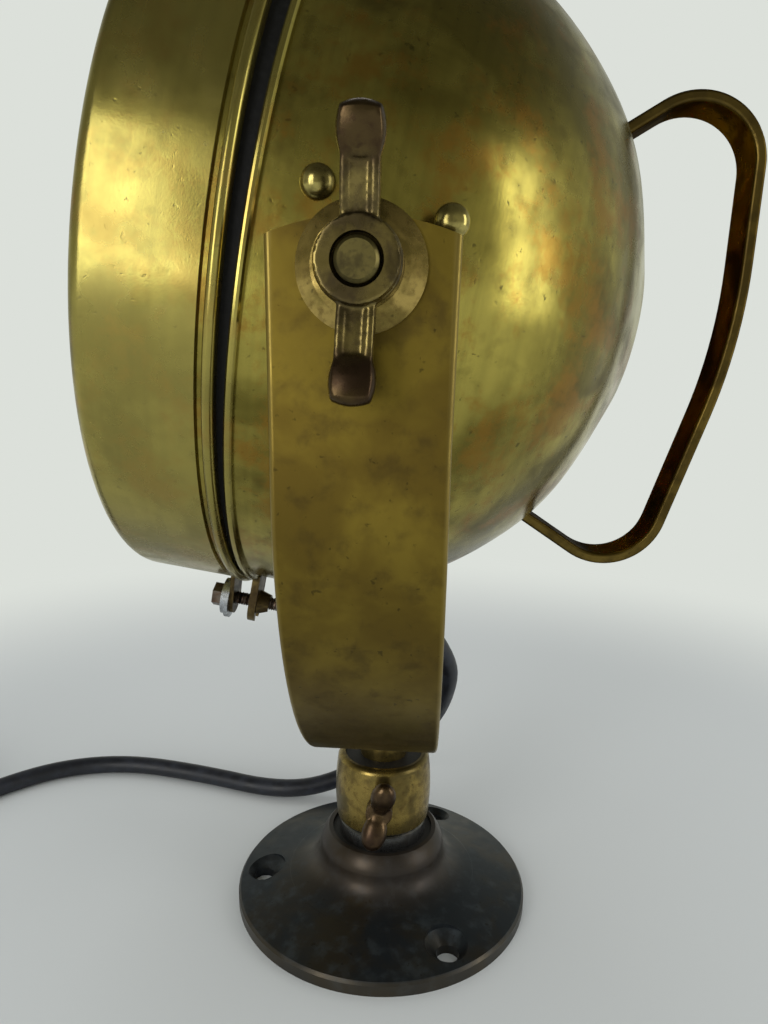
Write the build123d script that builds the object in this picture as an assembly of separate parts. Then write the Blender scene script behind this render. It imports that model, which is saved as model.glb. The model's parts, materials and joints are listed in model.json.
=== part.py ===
from build123d import *
import os
from math import atan2, cos, degrees, hypot, pi, radians, sin, sqrt, tan

# Ship searchlight: a spun brass drum with a hinged glass bezel and a strap handle, held by two
# wing nuts in a brass U strap that turns on a bronze flange. Millimetres, +Z up, origin at the
# centre of the flange's underside, lamp facing -X, tilt axis along Y.

# Flange and its screws
flange_radius = 62.5
rim_height = 5.1
rim_round = 0.9
plate_slope = 0.23
neck_radius = 26.8
neck_foot_height = 19.5
neck_top = 30.0
neck_rim_radius = 23.4
neck_recess_radius = 21.6
neck_recess_depth = 2.5
underside_recess_radius = 24.0
underside_recess_depth = 12.0
screw_circle_radius = 52.0
screw_hole_radius = 4.5
countersink_radius = 9.0
countersink_depth = 4.2
screw_count = 3
screw_pattern_turn = 3.7

# Drum, measured from the tilt axis along the lamp's axis, front positive
drum_radius = 116.3
drum_wall = 1.2
dome_start = 5.9
dome_length = 0.81 * drum_radius
dome_back = dome_length - dome_start
dome_fullness = 1.55
dome_roundness = 2.28
ring_back = 28.4
ring_front = ring_back + 2.4
ring_bead_radius = drum_radius + 2.0
ring_inner_radius = drum_radius - 12.3
ring_web = 1.5
ring_web_back = 4.3
lip_radius = drum_radius - 2.1
lip_wall = 1.2
lip_front = ring_front + 4.2
gasket_thickness = 1.4

# Bezel, measured forward from its rear bead
bezel_plane = lip_front + 1.1
bezel_sag = 1.4
bead_radius = drum_radius + 3.2
bead_half = 1.7
groove_radius = bead_radius - 2.1
groove_end = 3.5
skirt_radius = bead_radius - 1.0
bezel_wall = 1.5
bezel_depth = 37.7
bezel_edge_round = 5.0
bezel_mouth_radius = skirt_radius - 15.5
mouth_return = 1.0
glass_radius = skirt_radius - 8.5
glass_thickness = 4.0
glass_gasket_radius = glass_radius + 2.5
glass_gasket_wall = 1.2
clip_ring_radius = 1.6

# Spigot that the sleeve turns on
spigot_shank_radius = 12.0
spigot_collar_radius = 18.6
spigot_collar_top = neck_top + 5.0
spigot_radius = 13.0
groove_depth = 2.0
groove_floor_half = 1.0
neck_ring_thickness = 1.2
spigot_washer_radius = 19.0
spigot_washer_thickness = 2.0
spigot_nut_across = 32.0
spigot_nut_height = 6.0
spigot_end_height = 2.5

# Swivel sleeve, its thumb screw and the stem under the yoke
turning_clearance = 0.08
face_gap = 0.1
sleeve_gap = 0.8
sleeve_bottom = spigot_collar_top + sleeve_gap
sleeve_length = 29.2
sleeve_top = sleeve_bottom + sleeve_length
sleeve_foot_radius = 19.6
sleeve_belly_radius = 20.5
sleeve_edge_round = 2.0
sleeve_recess_radius = 16.5
sleeve_recess_depth = 3.0
sleeve_web = 6.0
sleeve_washer_thickness = 2.4
thumb_height = sleeve_bottom + 14.2
thumb_thread_radius = 3.0
thumb_hub_radius = 6.2
thumb_hub_length = 5.5
thumb_reach = 13.5
thumb_pad_width = 9.2
thumb_pad_length = 8.6
thumb_neck_width = 6.4
thumb_turn = 12.0
stem_radius = 10.0
stem_length = 15.5
stem_stud_radius = 7.0
stem_thread_radius = 6.0
stem_nut_across = 19.0
stem_nut_height = 8.0
stem_washer_radius = 12.5
stem_washer_thickness = 3.0
stem_thread_past = 3.0

# Yoke strap: its arms clear the bezel's bead and stand on the stem
arm_clearance = 1.0
yoke_inner_half = bead_radius + arm_clearance
strap_thickness = 4.0
bend_centre_height = sleeve_top + stem_length + strap_thickness + yoke_inner_half
arm_rise = 42.8
arm_top_half_width = 22.8
arm_half_width = 21.9
arm_corner_rise = 7.0
arm_crown_rise = 11.5
strap_edge_round = 1.4

# Tilt axis and its hardware
pivot_height = bend_centre_height + arm_rise
tilt_at_rest = 10.1
axis_rise = 6.75
pivot_bolt_radius = 5.0
pivot_head_across = 17.0
pivot_head_height = 6.0
spacer_radius = 13.0
trunnion_plate_size = 50.0
trunnion_plate_thickness = 2.5
plate_face = drum_radius - drum_wall - trunnion_plate_thickness
rivet_spacing = 33.0
rivet_turn = 5.3
rivet_shank_radius = 2.4
rivet_head_radius = 4.3
rivet_head_height = 3.2
pivot_washer_radius = 15.2
pivot_washer_thickness = 3.4
pivot_washer_edge = 1.4
hub_radius = 10.0
hub_tip_radius = 9.2
hub_length = 8.0
bolt_tip_past_hub = 0.6
wing_reach = 30.8
wing_pad_width = 10.4
wing_pad_length = 11.2
wing_neck_width = 8.8
near_wing_turn = 1.5
far_wing_turn = 24.0

# Bezel hinge at the top and clamp at the bottom
hinge_forward = ring_front + 4.2
hinge_above_axis = drum_radius + 9.3
hinge_pin_radius = 1.7
hinge_knuckle_radius = 3.7
hinge_half_width = 15.0
hinge_middle_half = 7.0
hinge_play = 0.3
leaf_thickness = 2.6
leaf_half_width = 14.0
leaf_length = 20.0
clamp_side = 25.0
clamp_below_axis = bead_radius + 4.9
clamp_screw_radius = 2.5
clamp_screw_length = 37.0
clamp_head_across = 8.0
clamp_head_height = 4.0
small_washer_radius = 6.9
large_washer_radius = 8.0
clamp_washer_thickness = 1.6
clamp_tab_thickness = 1.6
clamp_tab_half_width = 6.0
lug_thickness = 2.8
lug_height = 12.0
lug_half_width = 6.5
lug_hang = 7.6
lug_boss_radius = 4.8
lug_boss_tip_radius = 3.6
lug_boss_length = 4.3
lug_slot_clearance = 0.4

# Strap handle, its corners behind and above the tilt axis as shares of the drum's radius
handle_thickness = 4.0
handle_width = 19.0
handle_edge_round = 1.2
handle_shares = [(0.533, 0.607), (0.977, 0.997), (1.1015, 0.1144), (0.977, -0.7429), (0.4987, -0.5383)]
handle_corners = [(drum_radius * back, drum_radius * above) for back, above in handle_shares]
handle_radii = [22.8, 200.0, 22.0]
tenon_width = 9.0
tenon_inside = 4.5
tenon_plate_size = 18.0
tenon_plate_thickness = 2.0

# Reflector, bulb and holder
reflector_focus = 34.0
reflector_mouth_radius = ring_inner_radius - 1.0
reflector_wall = 0.8
reflector_rim_radius = drum_radius - 5.8
reflector_hole_radius = 20.5
reflector_screw_radius = 1.5
reflector_screw_head_radius = 3.0
reflector_screw_head = 1.6
holder_radius = 19.5
holder_back = dome_back - 16.3
holder_front = holder_back - 34.0
stand_radius = 9.0
stand_foot_radius = 22.0
stand_foot_thickness = 3.0
cap_radius = 13.2
cap_back = holder_back - 12.0
cap_front = cap_back - 26.0
bulb_radius = 30.0
bulb_centre = 28.0 - cap_front
bulb_wall = 0.9
bulb_neck_radius = 12.2

# Cord, its gland and its plug
cord_radius = 4.5
gland_x = 13.0
gland_y = 24.0
gland_exit_height = pivot_height - 117.8
gland_boss_radius = 7.5
gland_nut_across = 16.0
gland_nut_height = 8.0
gland_grip = 2.0
coil_centre = (-284.0, 26.6)
coil_mid_radius = 50.0
coil_turns_across = 2
coil_turns_high = 2
coil_heading = 243.0
tail_heading = 180.0
coil_stub = 34.0
lead_in_run = 20.0
cord_inset = 0.1
tail_length = 46.0
plug_radius = 17.5
plug_length = 38.0
plug_nose = 6.0
plug_pin_radius = 2.4
plug_pin_length = 19.0
plug_pin_spacing = 19.0
relief_length = 26.0
relief_radius = 7.5

inner_lead_radius = 3.0
inner_lead_points = [
    (gland_x, gland_y, gland_exit_height + 38.0),
    (50.0, 14.0, gland_exit_height + 58.0),
    (64.5, 2.0, gland_exit_height + 74.0),
]
cord_lie = cord_radius + cord_inset
hanging_route = [
    (gland_x, gland_y, gland_exit_height - 12.0),
    (30.0, 31.0, 0.715 * gland_exit_height),
    (30.5, 44.0, 0.56 * gland_exit_height),
    (27.0, 58.0, 0.43 * gland_exit_height),
    (14.0, 70.0, 0.29 * gland_exit_height),
    (-8.0, 76.0, 0.1538 * gland_exit_height),
    (-34.0, 68.0, 0.0538 * gland_exit_height),
    (-62.0, 64.5, cord_lie),
    (-104.0, 77.0, cord_lie),
    (-150.0, 85.0, cord_lie),
    (-186.0, 75.0, cord_lie),
]

os.makedirs("parts", exist_ok=True)

on_lamp_axis = Pos(0, 0, pivot_height) * Rot(0, tilt_at_rest, 0) * Pos(0, 0, axis_rise)
on_bezel = Pos(-bezel_plane, 0, 0) * Rot(0, -bezel_sag, 0)


def save(name, shape):
    """Write one node and say how many solids it holds."""
    export_step(shape, f"parts/{name}.step")
    print(name, len(shape.solids()), "solids")


def turned(*corners):
    """A solid turned about Z from a closed outline of (radius, height) corners."""
    outline = Polyline(*[(radius, 0, height) for radius, height in corners], close=True)
    return revolve(make_face(outline), Axis.Z)


def spun(*corners):
    """A solid spun about the lamp's axis from a closed outline of (forward, radius) corners."""
    outline = Polyline(*[(-forward, 0, radius) for forward, radius in corners], close=True)
    return revolve(make_face(outline), Axis.X)


def rod(radius, length, start=0.0):
    """A round bar along Z that begins at start."""
    return Pos(0, 0, start + length / 2) * Cylinder(radius, length)


def hexagon_bar(across, length, start=0.0):
    """A hexagonal bar along Z that begins at start."""
    return Pos(0, 0, start) * extrude(RegularPolygon(across / 2, 6, major_radius=False), length)


def drum_form(inset, front=ring_back):
    """The drum's outline as a solid, inset evenly from its outer skin."""
    radius = drum_radius - inset
    length = dome_length - inset
    stations = [radians(step * 15) for step in range(7)]
    curve = [
        (-(dome_start - length * sin(t) ** (2 / dome_fullness)), 0, radius * cos(t) ** (2 / dome_roundness))
        for t in stations[:-1]
    ]
    curve.append((length - dome_start, 0, 0))
    dome = Spline(*curve, tangents=[(1, 0, 0), (0, 0, -1)])
    front_line = Polyline((length - dome_start, 0, 0), (-front, 0, 0), (-front, 0, radius), curve[0])
    return revolve(make_face([*dome.edges(), *front_line.edges()]), Axis.X)


def wings(reach, neck_width, pad_width, pad_length, hub_height):
    """Two opposed wings along X whose pads flare outward along Z."""
    flare = 20.0
    pad_middle = reach - pad_length / 2 * cos(radians(flare))
    pad_thickness = 0.52 * pad_width
    neck_end = pad_middle - 0.36 * pad_length
    lean = 0.27 * pad_width
    neck_outline = Polyline(
        (0, 0, 0.1 * hub_height),
        (neck_end, 0, lean),
        (neck_end, 0, lean + 0.62 * hub_height),
        (0, 0, 0.85 * hub_height),
        close=True,
    )
    neck = extrude(make_face(neck_outline), neck_width / 2, dir=(0, 1, 0), both=True)
    pad = Box(pad_length, pad_width, pad_thickness)
    pad = fillet(pad.edges().filter_by(Axis.X), 0.42 * pad_thickness)
    pad = fillet(pad.edges().filter_by(Axis.Y), 0.3 * pad_thickness)
    pad_height = lean + 0.5 * hub_height + (pad_middle - neck_end) * tan(radians(flare))
    pad = Pos(pad_middle, 0, pad_height) * Rot(0, -flare, 0) * pad
    wing = neck + pad
    return wing + Rot(0, 0, 180) * wing


def round_path(points):
    """Straight runs joined by arcs as large as their runs allow, with the radii used."""
    radii = []
    for before, here, after in zip(points, points[1:], points[2:]):
        run_in = Vector(*here) - Vector(*before)
        run_out = Vector(*after) - Vector(*here)
        turn = radians(run_in.get_angle(run_out))
        radii.append(0.45 * min(run_in.length, run_out.length) / tan(turn / 2))
    return FilletPolyline(*points, radius=radii), radii


def tube_along(name, points, radius):
    """A round tube along a rounded route, checked against section times length."""
    path, radii = round_path(points)
    heading = Vector(*points[1]) - Vector(*points[0])
    section = Plane(origin=points[0], z_dir=heading) * Circle(radius)
    tube = sweep(section, path)
    expected = pi * radius**2 * path.length
    print(name, "radii", [round(r) for r in radii], "length", round(path.length), end=" ")
    print("volume ratio", round(tube.volume / expected, 4))
    return tube, path.length


# Base: the bronze flange and the steel spigot that is nutted through it
def base_flange():
    """Bronze casting with a bell neck, a conical plate and countersunk holes."""
    recess_floor = neck_top - neck_recess_depth
    bore = spigot_shank_radius
    shoulder = ThreePointArc(
        (neck_rim_radius, 0, neck_top),
        (neck_radius - 0.9, 0, neck_top - 3.6),
        (neck_radius, 0, neck_foot_height + 3.4),
    )
    flare = Spline(
        (neck_radius, 0, neck_foot_height + 3.4),
        (neck_radius + 0.9, 0, neck_foot_height - 2.0),
        (neck_radius + 4.9, 0, rim_height + 8.2),
        (neck_radius + 12.2, 0, rim_height + 5.6),
        (flange_radius - rim_round, 0, rim_height + 0.3),
        tangents=[(0, 0, -1), (1, 0, -plate_slope)],
    )
    rest = Polyline(
        (flange_radius - rim_round, 0, rim_height + 0.3),
        (flange_radius, 0, rim_height - rim_round),
        (flange_radius, 0, 0),
        (underside_recess_radius, 0, 0),
        (underside_recess_radius, 0, underside_recess_depth),
        (bore, 0, underside_recess_depth),
        (bore, 0, recess_floor),
        (neck_recess_radius, 0, recess_floor),
        (neck_recess_radius, 0, neck_top),
        (neck_rim_radius, 0, neck_top),
    )
    casting = revolve(make_face([*shoulder.edges(), *flare.edges(), *rest.edges()]), Axis.Z)
    plate_height = rim_height + 0.3 + (flange_radius - screw_circle_radius) * plate_slope
    sink_bottom = plate_height - countersink_depth
    drill = rod(screw_hole_radius, 4 * plate_height, -plate_height)
    sink = Pos(0, 0, sink_bottom + countersink_depth / 2) * Cone(
        screw_hole_radius, countersink_radius, countersink_depth
    )
    relief = rod(countersink_radius, 2 * plate_height, plate_height)
    for step in range(screw_count):
        turn = 180 + screw_pattern_turn + step * 360 / screw_count
        casting -= Rot(0, 0, turn) * Pos(screw_circle_radius, 0, 0) * (drill + sink + relief)
    return casting


def spigot():
    """Steel post with a collar, a locking groove and a threaded tail."""
    top = sleeve_top - sleeve_recess_depth - sleeve_web - face_gap
    groove_half = groove_floor_half + groove_depth
    return turned(
        (0, spigot_end_height),
        (spigot_shank_radius, spigot_end_height),
        (spigot_shank_radius, neck_top - neck_recess_depth),
        (spigot_collar_radius, neck_top - neck_recess_depth),
        (spigot_collar_radius, spigot_collar_top - 0.6),
        (spigot_collar_radius - 0.6, spigot_collar_top),
        (spigot_radius, spigot_collar_top),
        (spigot_radius, thumb_height - groove_half),
        (spigot_radius - groove_depth, thumb_height - groove_floor_half),
        (spigot_radius - groove_depth, thumb_height + groove_floor_half),
        (spigot_radius, thumb_height + groove_half),
        (spigot_radius, top - 1.0),
        (spigot_radius - 1.0, top),
        (0, top),
    )


def neck_ring():
    """Dark friction ring lying in the neck's recess round the collar."""
    ring = rod(neck_recess_radius, neck_ring_thickness, neck_top - neck_recess_depth)
    return ring - rod(spigot_collar_radius, 4 * neck_ring_thickness, neck_top - neck_recess_depth - 1)


def spigot_washer():
    """Plain washer under the casting's boss."""
    start = underside_recess_depth - spigot_washer_thickness
    washer = rod(spigot_washer_radius, spigot_washer_thickness, start)
    return washer - rod(spigot_shank_radius, 4 * spigot_washer_thickness, start - 1)


def spigot_nut():
    """Thin hexagon nut that pulls the spigot down."""
    start = underside_recess_depth - spigot_washer_thickness - spigot_nut_height
    nut = hexagon_bar(spigot_nut_across, spigot_nut_height, start)
    return nut - rod(spigot_shank_radius, 4 * spigot_nut_height, start - 1)


save("base_flange", base_flange())
save("spigot", spigot())
save("neck_ring", neck_ring())
save("spigot_washer", spigot_washer())
save("spigot_nut", spigot_nut())


# Swivel: the brass sleeve, its thumb screw and the stem that carries the yoke
def swivel_sleeve():
    """Barrelled brass sleeve, bored from below and recessed on top."""
    recess_floor = sleeve_top - sleeve_recess_depth
    bore = spigot_radius + turning_clearance
    belly = ThreePointArc(
        (sleeve_foot_radius, 0, sleeve_bottom + 1.0),
        (sleeve_belly_radius, 0, (sleeve_bottom + sleeve_top) / 2),
        (sleeve_foot_radius, 0, sleeve_top - sleeve_edge_round),
    )
    top_edge = ThreePointArc(
        (sleeve_foot_radius, 0, sleeve_top - sleeve_edge_round),
        (sleeve_foot_radius - 0.35 * sleeve_edge_round, 0, sleeve_top - 0.35 * sleeve_edge_round),
        (sleeve_foot_radius - sleeve_edge_round, 0, sleeve_top),
    )
    rest = Polyline(
        (sleeve_foot_radius - sleeve_edge_round, 0, sleeve_top),
        (sleeve_recess_radius, 0, sleeve_top),
        (sleeve_recess_radius, 0, recess_floor),
        (stem_stud_radius, 0, recess_floor),
        (stem_stud_radius, 0, recess_floor - sleeve_web),
        (bore, 0, recess_floor - sleeve_web),
        (bore, 0, sleeve_bottom),
        (sleeve_foot_radius - 1.0, 0, sleeve_bottom),
        (sleeve_foot_radius, 0, sleeve_bottom + 1.0),
    )
    sleeve = revolve(make_face([*belly.edges(), *top_edge.edges(), *rest.edges()]), Axis.Z)
    tapping = rod(thumb_thread_radius + turning_clearance, 2 * sleeve_belly_radius)
    tapping = Pos(0, 0, thumb_height) * Rot(90, 0, 0) * tapping
    return sleeve - tapping


def thumb_screw():
    """Brass thumb screw whose tip bears in the spigot's groove."""
    tip = spigot_radius - groove_depth + face_gap
    hub_start = sleeve_belly_radius + face_gap
    shank = rod(thumb_thread_radius, hub_start + thumb_hub_length / 2 - tip, tip)
    shank = chamfer(shank.edges().sort_by(Axis.Z)[0], thumb_thread_radius - groove_floor_half)
    hub = Pos(0, 0, hub_start + thumb_hub_length / 2) * Cone(
        thumb_hub_radius, 0.86 * thumb_hub_radius, thumb_hub_length
    )
    head = hub + Pos(0, 0, hub_start) * Rot(0, 0, 90) * wings(
        thumb_reach, thumb_neck_width, thumb_pad_width, thumb_pad_length, thumb_hub_length
    )
    return Pos(0, 0, thumb_height) * Rot(0, thumb_turn, 0) * Rot(90, 0, 0) * (shank + head)


def sleeve_washer():
    """Dark washer round the stem in the sleeve's top recess."""
    floor = sleeve_top - sleeve_recess_depth
    washer = rod(sleeve_recess_radius - 0.3, sleeve_washer_thickness, floor)
    return washer - rod(stem_radius, 4 * sleeve_washer_thickness, floor - 1)


def yoke_stem(strap):
    """Brass stem screwed into the sleeve, with a thread up through the strap."""
    floor = sleeve_top - sleeve_recess_depth
    strap_underside = bend_centre_height - yoke_inner_half - strap_thickness
    body = rod(stem_radius, strap_underside + strap_edge_round - floor, floor) - strap
    body += rod(stem_stud_radius, sleeve_web, floor - sleeve_web)
    thread_top = strap_underside + strap_thickness + stem_washer_thickness + stem_nut_height + stem_thread_past
    return body + rod(stem_thread_radius, thread_top - strap_underside, strap_underside)


def stem_washer(strap):
    """Thick washer shaped to the inside of the bend."""
    floor = bend_centre_height - yoke_inner_half
    washer = rod(stem_washer_radius, stem_washer_thickness, floor)
    return washer - rod(stem_thread_radius, 4 * stem_washer_thickness, floor - strap_thickness) - strap


def stem_nut():
    """Hexagon nut that holds the strap down on its stem."""
    start = bend_centre_height - yoke_inner_half + stem_washer_thickness
    nut = hexagon_bar(stem_nut_across, stem_nut_height, start)
    return nut - rod(stem_thread_radius, 3 * stem_nut_height, start - stem_nut_height)


def yoke_strap():
    """Flat brass strip bent to a U, with a low roof on each arm's top."""
    outer = yoke_inner_half + strap_thickness
    arm_top = pivot_height + arm_crown_rise
    tall = arm_top - bend_centre_height

    blank = 4 * arm_top_half_width

    def u_form(half, rise):
        bend = Rot(0, 90, 0) * Cylinder(half, blank)
        arms = Pos(0, 0, rise / 2) * Box(blank, 2 * half, rise)
        return Pos(0, 0, bend_centre_height) * (bend + arms)

    strip = u_form(outer, tall) - u_form(yoke_inner_half, 2 * tall)
    corner_z = pivot_height + arm_corner_rise
    bottom_z = bend_centre_height - outer - 1
    crown = ThreePointArc(
        (-arm_top_half_width, 0, corner_z), (0, 0, arm_top), (arm_top_half_width, 0, corner_z)
    )
    sides = Polyline(
        (arm_top_half_width, 0, corner_z),
        (arm_half_width, 0, bend_centre_height),
        (arm_half_width, 0, bottom_z),
        (-arm_half_width, 0, bottom_z),
        (-arm_half_width, 0, bend_centre_height),
        (-arm_top_half_width, 0, corner_z),
    )
    front_view = make_face([*crown.edges(), *sides.edges()])
    strip = strip & extrude(front_view, outer + 1, dir=(0, 1, 0), both=True)
    long_edges = strip.edges().filter_by(
        lambda e: abs(e.center().X) > arm_half_width - 0.5 and e.length > 2 * strap_thickness
    )
    return fillet(long_edges, strap_edge_round)


blank_strap = yoke_strap()
pivot_hole = Cylinder(pivot_bolt_radius + turning_clearance, 3 * yoke_inner_half)
pivot_hole = Pos(0, 0, pivot_height) * Rot(90, 0, 0) * pivot_hole
stem_hole = rod(stem_thread_radius, yoke_inner_half, bend_centre_height - 1.5 * yoke_inner_half)
save("yoke_strap", blank_strap - pivot_hole - stem_hole)
save("swivel_sleeve", swivel_sleeve())
save("thumb_screw", thumb_screw())
save("sleeve_washer", sleeve_washer())
save("yoke_stem", yoke_stem(blank_strap))
save("stem_washer", stem_washer(blank_strap))
save("stem_nut", stem_nut())


# Drum: the spun shell, its front ring and seal, and the plates behind the tilt bolts
drum_outer = drum_form(0)
drum_inner = drum_form(drum_wall, ring_back + 5)
plate_inner = drum_form(drum_wall + trunnion_plate_thickness, ring_back + 5)
sides = (-1, 1)


def across(side, radius, start, end, x=0.0, z=0.0):
    """A round bar along Y on one side of the drum, from start to end."""
    return Pos(x, side * (start + end) / 2, z - axis_rise) * Rot(90, 0, 0) * Cylinder(radius, end - start)


rivet_reach = rivet_spacing / sqrt(2)
rivet_angles = [radians(45 + step * 90 - rivet_turn) for step in range(4)]
rivet_places = [(side, rivet_reach * cos(a), rivet_reach * sin(a)) for side in sides for a in rivet_angles]
hole_start = plate_face - 20.0
bolt_holes = [across(side, pivot_bolt_radius, hole_start, yoke_inner_half) for side in sides]
rivet_holes = [across(side, rivet_shank_radius, hole_start, yoke_inner_half, x, z) for side, x, z in rivet_places]


reflector_seat = ring_front - ring_web_back
screw_places = [(reflector_rim_radius - 3.2, 360 / 6 * step + 30) for step in range(0, 6, 2)]


def reflector_drillings():
    """Holes for the reflector's screws, through its rim and the ring's web."""
    hole = Rot(0, 90, 0) * Cylinder(reflector_screw_radius, 12)
    return [Rot(turn, 0, 0) * Pos(-reflector_seat, 0, radius) * hole for radius, turn in screw_places]


def front_ring():
    """Brass ring soldered in the drum's mouth, with a rolled edge, an inner web and a lip."""
    inside = drum_radius - drum_wall
    ring = spun(
        (reflector_seat - ring_web, inside),
        (ring_back, inside),
        (ring_back, ring_bead_radius - 0.8),
        (ring_back + 0.5, ring_bead_radius - 0.1),
        (ring_back + 1.2, ring_bead_radius),
        (ring_front - 0.6, ring_bead_radius - 0.1),
        (ring_front, ring_bead_radius - 0.9),
        (ring_front, lip_radius),
        (lip_front, lip_radius),
        (lip_front, lip_radius - lip_wall),
        (reflector_seat, lip_radius - lip_wall),
        (reflector_seat, ring_inner_radius),
        (reflector_seat - ring_web, ring_inner_radius),
        (reflector_seat - ring_web, inside),
    )
    return ring


def trunnion_plates():
    """Curved plates inside the drum that the tilt bolts pull against."""
    size = trunnion_plate_size
    block = Box(size, size, size)
    plates = [(drum_inner - plate_inner) & (Pos(0, side * drum_radius, -axis_rise) * block) for side in sides]
    return Part() + plates - bolt_holes - rivet_holes


def trunnion_rivets():
    """Round-headed brass rivets through the drum and its plates."""
    dome_ball = (rivet_head_radius**2 + rivet_head_height**2) / (2 * rivet_head_height)
    rivets = []
    for side, x, z in rivet_places:
        skin = sqrt(drum_radius**2 - (z - axis_rise) ** 2)
        inside = skin - drum_wall - trunnion_plate_thickness
        shank = across(side, rivet_shank_radius, inside - 1.5, skin, x, z)
        ball_at = skin + rivet_head_height - dome_ball
        head = Pos(x, side * ball_at, z - axis_rise) * Sphere(dome_ball)
        head = (head & across(side, rivet_head_radius, skin - 3, skin + 6, x, z)) - drum_outer
        rivets.append(shank + head)
    return Part() + rivets


def pivot_bolts():
    """Bolts whose heads lie against the plates inside the drum."""
    tip = yoke_inner_half + strap_thickness + pivot_washer_thickness + hub_length + bolt_tip_past_hub
    bolts = []
    for side in sides:
        shank = across(side, pivot_bolt_radius, plate_face - pivot_head_height / 2, tip)
        shank = chamfer(shank.edges().sort_by(Axis.Y)[-1 if side > 0 else 0], 0.8)
        head = hexagon_bar(pivot_head_across, 2 * pivot_head_height, plate_face - pivot_head_height)
        head = Pos(0, 0, -axis_rise) * Rot(-90 * side, 0, 0) * head
        bolts.append(shank + (head & plate_inner))
    return Part() + bolts


def pivot_spacers():
    """Thick washers between the drum's side and the yoke's arm."""
    rings = []
    for side in sides:
        ring = across(side, spacer_radius, hole_start, yoke_inner_half - face_gap) - drum_outer
        rings.append(ring - across(side, pivot_bolt_radius, hole_start, yoke_inner_half))
    return Part() + rings


def pivot_washers():
    """Domed brass washers outside the yoke's arms."""
    washers = []
    for side in sides:
        start = yoke_inner_half + strap_thickness
        washer = turned(
            (pivot_bolt_radius + turning_clearance, 0),
            (pivot_washer_radius, 0),
            (pivot_washer_radius, pivot_washer_edge * 0.7),
            (pivot_washer_radius - 0.8, pivot_washer_edge),
            (hub_radius + 1.5, pivot_washer_thickness - 0.5),
            (hub_radius, pivot_washer_thickness),
            (pivot_bolt_radius + turning_clearance, pivot_washer_thickness),
        )
        washers.append(Rot(-90 * side, 0, 0) * Pos(0, 0, start) * washer)
    return Pos(0, 0, pivot_height) * (Part() + washers)


def wing_nut(side, turn):
    """Wing nut with flared pads, its wings turned from upright."""
    start = yoke_inner_half + strap_thickness + pivot_washer_thickness + face_gap
    hub = turned(
        (0, 0),
        (hub_radius, 0),
        (hub_radius, 0.45 * hub_length),
        (hub_tip_radius, 0.9 * hub_length),
        (hub_tip_radius - 0.9, hub_length),
        (0, hub_length),
    )
    nut = hub + wings(wing_reach, wing_neck_width, wing_pad_width, wing_pad_length, hub_length)
    bore = pivot_bolt_radius + turning_clearance
    nut -= rod(bore, 4 * hub_length, -hub_length)
    nut -= Pos(0, 0, hub_length - 0.25) * Cone(bore, bore + 0.5, 0.501)
    placed = Rot(-90 * side, 0, 0) * Pos(0, 0, start) * Rot(0, 0, 90) * nut
    return Pos(0, 0, pivot_height) * Rot(0, turn, 0) * placed


def handle_plane(points):
    """The handle's corners as points on the drum's upright middle plane."""
    return [(back, 0, above - axis_rise) for back, above in points]


def handle_form(width, thickness, corner):
    """The handle's strap at one width, carried on into the dome."""
    path = FilletPolyline(*handle_plane(handle_corners), radius=handle_radii)
    start, second = handle_plane(handle_corners)[:2]
    heading = Vector(*second) - Vector(*start)
    section = Plane(origin=start, x_dir=(0, 1, 0), z_dir=heading)
    return sweep(section * RectangleRounded(width, thickness, corner), path)


def handle():
    """Bent brass strap handle whose narrow tenons pass through the dome."""
    strap = handle_form(handle_width, handle_thickness, handle_edge_round) - drum_outer
    tenons = handle_form(tenon_width, handle_thickness - 0.4, 0.6) & drum_outer
    return strap + (tenons - drum_form(drum_wall + tenon_inside))


def handle_plates(tenons):
    """Small backing plates that the handle's tenons are peened over."""
    shell = drum_inner - drum_form(drum_wall + tenon_plate_thickness, ring_back + 5)
    plates = []
    for near, far in (handle_corners[:2], handle_corners[-1:-3:-1]):
        share = 12.0 / hypot(far[0] - near[0], far[1] - near[1])
        at = (near[0] + (far[0] - near[0]) * share, near[1] + (far[1] - near[1]) * share)
        slope = degrees(atan2(at[1] - axis_rise, at[0] - 10.0))
        block = Rot(0, -slope, 0) * Box(40, tenon_plate_size, tenon_plate_size)
        plates.append(shell & (Pos(at[0], 0, at[1] - axis_rise) * block))
    return Part() + plates - tenons


drum_ring = front_ring() - reflector_drillings()
drum_tenons = handle_form(tenon_width, handle_thickness - 0.4, 0.6)
gland_way = rod(inner_lead_radius + 0.3, 6 * gland_boss_radius, gland_exit_height)
gland_way = on_lamp_axis.inverse() * Pos(gland_x, gland_y, 0) * gland_way
drum_shell = drum_outer - drum_inner - bolt_holes - rivet_holes - drum_tenons - gland_way
save("drum_shell", on_lamp_axis * drum_shell)
save("drum_front_ring", on_lamp_axis * drum_ring)
rim_gasket = spun(
    (ring_front, lip_radius),
    (ring_front, lip_radius + gasket_thickness),
    (lip_front - 0.6, lip_radius + gasket_thickness),
    (lip_front - 0.6, lip_radius),
)
save("rim_gasket", on_lamp_axis * rim_gasket)
save("trunnion_plates", on_lamp_axis * trunnion_plates())
save("trunnion_rivets", on_lamp_axis * trunnion_rivets())
save("pivot_bolts", on_lamp_axis * pivot_bolts())
save("pivot_spacers", on_lamp_axis * pivot_spacers())
save("pivot_washers", pivot_washers())
save("near_wing_nut", wing_nut(-1, near_wing_turn))
save("far_wing_nut", wing_nut(1, far_wing_turn))
save("handle", on_lamp_axis * handle())
save("handle_plates", on_lamp_axis * handle_plates(drum_tenons))


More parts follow.
